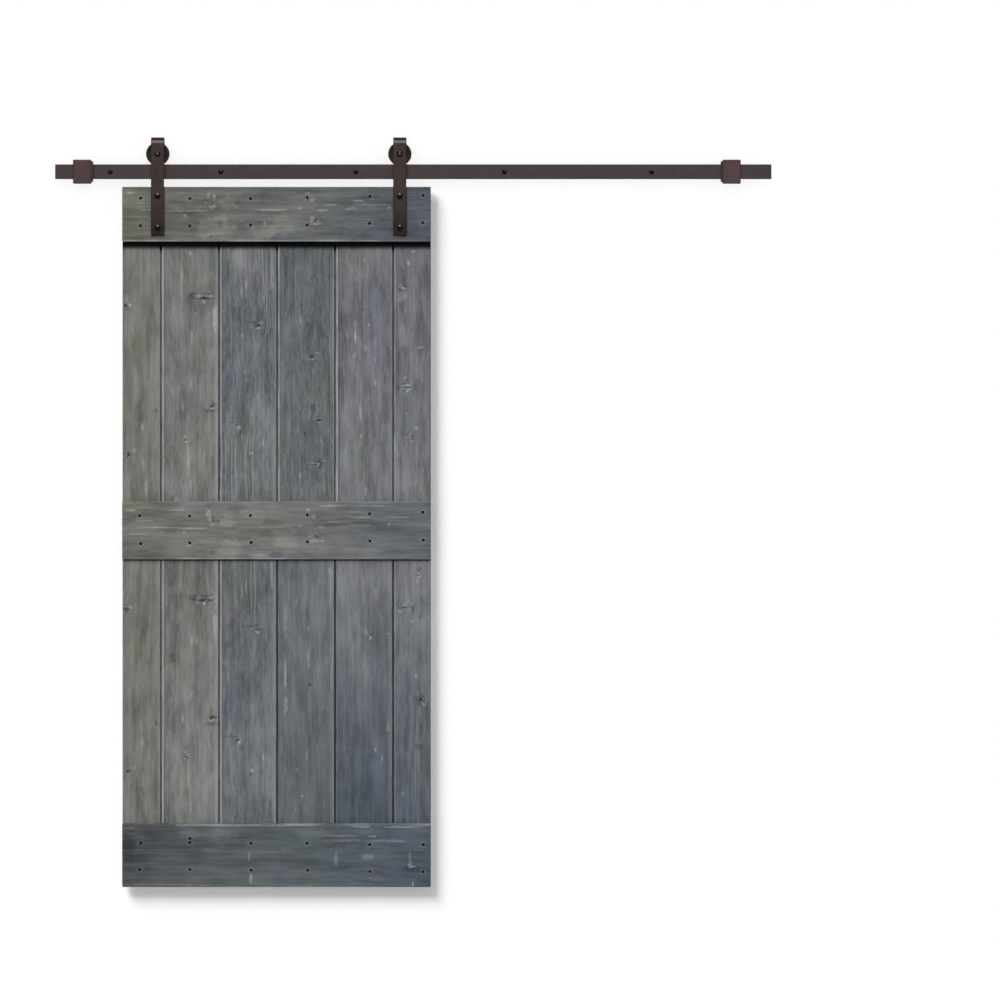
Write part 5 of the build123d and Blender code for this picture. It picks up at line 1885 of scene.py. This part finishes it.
def far_lamp(name, shines_from, width, strength):
    """A wide lamp so far off that it lights every place alike."""
    data = bpy.data.lights.new(name, "SUN")
    data.angle = width
    data.energy = strength
    lamp = lamp_object(name, data)
    lamp.rotation_euler = Vector(shines_from).to_track_quat("Z", "Y").to_euler()
    return lamp


def strip_lamp(name, place, target, size, power):
    """A wide flat lamp that shows as a highlight on the metal."""
    data = bpy.data.lights.new(name, "AREA")
    data.shape = "RECTANGLE"
    data.size, data.size_y = size
    data.energy = power
    lamp = lamp_object(name, data)
    lamp.location = place
    lamp.rotation_euler = (Vector(place) - Vector(target)).to_track_quat("Z", "Y").to_euler()
    return lamp


def gathered(name, pieces, state):
    """A collection that lets a lamp reach, or leave out, some pieces."""
    collection = bpy.data.collections.new(name)
    for piece in pieces:
        collection.objects.link(piece)
    for member in collection.collection_objects:
        member.light_linking.link_state = state
    return collection


def build_light(stage, planks):
    """Soft lamps on the object, one behind it, two on the wall (the planks stop one) and a white surround."""
    top_middle = ((door_left + door_right) / 2, door_front, door_top)
    key = far_lamp("key", KEY_FROM, KEY_WIDTH, KEY_STRENGTH)
    strip = strip_lamp("strip", STRIP_PLACE, top_middle, STRIP_SIZE, STRIP_POWER)
    fill = far_lamp("back_fill", BACK_FROM, KEY_WIDTH, BACK_STRENGTH)
    key.visible_glossy = False
    fill.visible_glossy = False
    strip.visible_diffuse = False
    for lamp in (key, strip, fill):
        lamp.light_linking.receiver_collection = gathered(f"{lamp.name}_leaves_out", stage, "EXCLUDE")
    wall_lamp = far_lamp("wall_light", WALL_LIGHT_FROM, WALL_LIGHT_WIDTH, WALL_LIGHT_STRENGTH)
    wall_fill = far_lamp("wall_fill", WALL_FILL_FROM, KEY_WIDTH, WALL_FILL_STRENGTH)
    for lamp, blockers in ((wall_lamp, planks), (wall_fill, stage)):
        lamp.light_linking.receiver_collection = gathered(f"{lamp.name}_reaches", stage, "INCLUDE")
        lamp.light_linking.blocker_collection = gathered(f"{lamp.name}_stopped_by", blockers, "INCLUDE")
    build_surround()


def build_surround():
    """An even white studio with a dimmer ceiling and floor, as glossy surfaces show it."""
    world = bpy.data.worlds.new("surround")
    world.use_nodes = True
    bpy.context.scene.world = world
    nodes = Nodes(world.node_tree)
    path = nodes.add("ShaderNodeLightPath").outputs
    direction = nodes.add("ShaderNodeTexCoord").outputs["Generated"]
    rise = nodes.math("ABSOLUTE", nodes.add("ShaderNodeSeparateXYZ", {0: direction}).outputs[2])
    in_gloss = nodes.spread(nodes.fall(rise, *SURROUND_RISE), SURROUND_ENDS, SURROUND_SIDES)
    shown = nodes.math("MAXIMUM", path["Is Camera Ray"], path["Is Transmission Ray"])
    strength = nodes.math("MAXIMUM", shown, nodes.times(path["Is Glossy Ray"], in_gloss))
    lit_only = nodes.math("SUBTRACT", 1.0, nodes.math("MAXIMUM", shown, path["Is Glossy Ray"]))
    strength = nodes.math("ADD", strength, nodes.times(lit_only, AMBIENT))
    background = nodes.add("ShaderNodeBackground", {"Color": (1, 1, 1, 1), "Strength": strength})
    nodes.add("ShaderNodeOutputWorld", {0: background.outputs[0]})


def build_camera():
    """A long lens square on to the wall, framed as the photograph is."""
    centre_x, centre_z = from_pixel(IMAGE_SIDE / 2, IMAGE_SIDE / 2)
    data = bpy.data.cameras.new("photo_camera")
    data.sensor_width = SENSOR_WIDTH
    data.lens = SENSOR_WIDTH * CAMERA_DISTANCE / (IMAGE_SIDE * METRES_PER_PIXEL)
    data.clip_end = CAMERA_SEES_TO
    camera = bpy.data.objects.new("photo_camera", data)
    camera.location = (centre_x, door_front - CAMERA_DISTANCE, centre_z)
    camera.rotation_euler = (math.pi / 2, 0, 0)
    bpy.context.scene.collection.objects.link(camera)
    bpy.context.scene.camera = camera


# Assembly

def dress(piece, node, material):
    """Puts a piece in the place of its CAD node, on the same body and material slot."""
    piece.data.materials.clear()
    piece.data.materials.append(material)
    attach(piece, body_of_node[node])
    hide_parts(node)


def build_boards():
    """The planks and ledges, each with a stain of its own, and the ledges' nails."""
    trees = {"knot": knot_group(), "spot": spot_group()}
    iron = coated_metal("nail_iron")
    planks = []
    for number in range(1, PLANK_COUNT + 1):
        node = f"plank_{number}"
        low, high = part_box(node)
        edges = (low.x, high.x - (TONGUE_LENGTH if number < PLANK_COUNT else 0))
        wood = stained_wood(f"wood_{node}", with_repeats(node), True, edges, PLANK_SEED_STEP * number, trees)
        planks.append(plank(number))
        dress(planks[-1], node, wood)
    for number, node in enumerate(LEDGES):
        low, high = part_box(node)
        seed = LEDGE_FIRST_SEED + LEDGE_SEED_STEP * number
        wood = stained_wood(f"wood_{node}", with_crumbs(node), False, (low.z, high.z), seed, trees)
        dress(ledge(node), node, wood)
        nails = nail_heads(node)
        nails.data.materials.append(iron)
        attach(nails, body_of_node[node])
    return planks


def build_track(bronze, stop_bronze, black, rubber):
    """The bar, its bolts and standoffs, and the end stops."""
    dress(flat_bar("track_bar"), "track_bar", bronze)
    for number in range(1, LAG_COUNT + 1):
        dress(standoff(f"standoff_{number}"), f"standoff_{number}", bronze)
        dress(lag_bolt(f"lag_bolt_{number}"), f"lag_bolt_{number}", black)
    for side in SIDES:
        body, pad = f"{side}_stop_body", f"{side}_stop_pad"
        dress(stop_block(body, STOP_BODY_EASE, STOP_BODY_STEP), body, stop_bronze)
        dress(stop_block(pad, STOP_PAD_EASE, STOP_PAD_STEP), pad, rubber)
        dress(flat_bar(f"{side}_stop_clamp_plate"), f"{side}_stop_clamp_plate", stop_bronze)
        dress(clamp_screws(f"{side}_stop_screws"), f"{side}_stop_screws", black)


def build_hangers(bronze, black, wheel_paint, bright):
    """The straps with their wheels, axles, bolts and nuts."""
    for side in SIDES:
        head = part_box(f"{side}_axle_bolt")
        flats = head[1].z - head[0].z
        dress(strap(f"{side}_hanger"), f"{side}_hanger", bronze)
        dress(hanger_bolts(f"{side}_hanger_bolts", flats), f"{side}_hanger_bolts", black)
        dress(hanger_nuts(f"{side}_hanger_nuts", flats), f"{side}_hanger_nuts", black)
        dress(axle_bolt(f"{side}_axle_bolt"), f"{side}_axle_bolt", black)
        dress(axle_nut(f"{side}_axle_nut"), f"{side}_axle_nut", black)
        dress(axle_spacers(f"{side}_axle_spacers"), f"{side}_axle_spacers", bright)
        dress(wheel(f"{side}_wheel", f"{side}_bearing"), f"{side}_wheel", wheel_paint)
        dress(bearing(f"{side}_bearing"), f"{side}_bearing", bright)


door_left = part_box("top_ledge")[0].x
door_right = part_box("top_ledge")[1].x
door_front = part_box("top_ledge")[0].y
plank_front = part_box("plank_1")[0].y
door_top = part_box("top_ledge")[1].z
door_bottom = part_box("bottom_ledge")[0].z
top_ledge_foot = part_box("top_ledge")[0].z
middle_ledge_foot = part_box("middle_ledge")[0].z
middle_ledge_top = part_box("middle_ledge")[1].z

bpy.context.scene.view_settings.view_transform = "Standard"
build_camera()
build_light(build_stage(), build_boards())
track_bronze = coated_metal("track_bronze")
strap_bronze = coated_metal("strap_bronze")
stop_bronze = coated_metal("stop_bronze")
black_oxide = coated_metal("black_oxide")
wheel_black = coated_metal("wheel_black")
build_track(track_bronze, stop_bronze, black_oxide, stop_rubber())
build_hangers(strap_bronze, black_oxide, wheel_black, ground_steel())
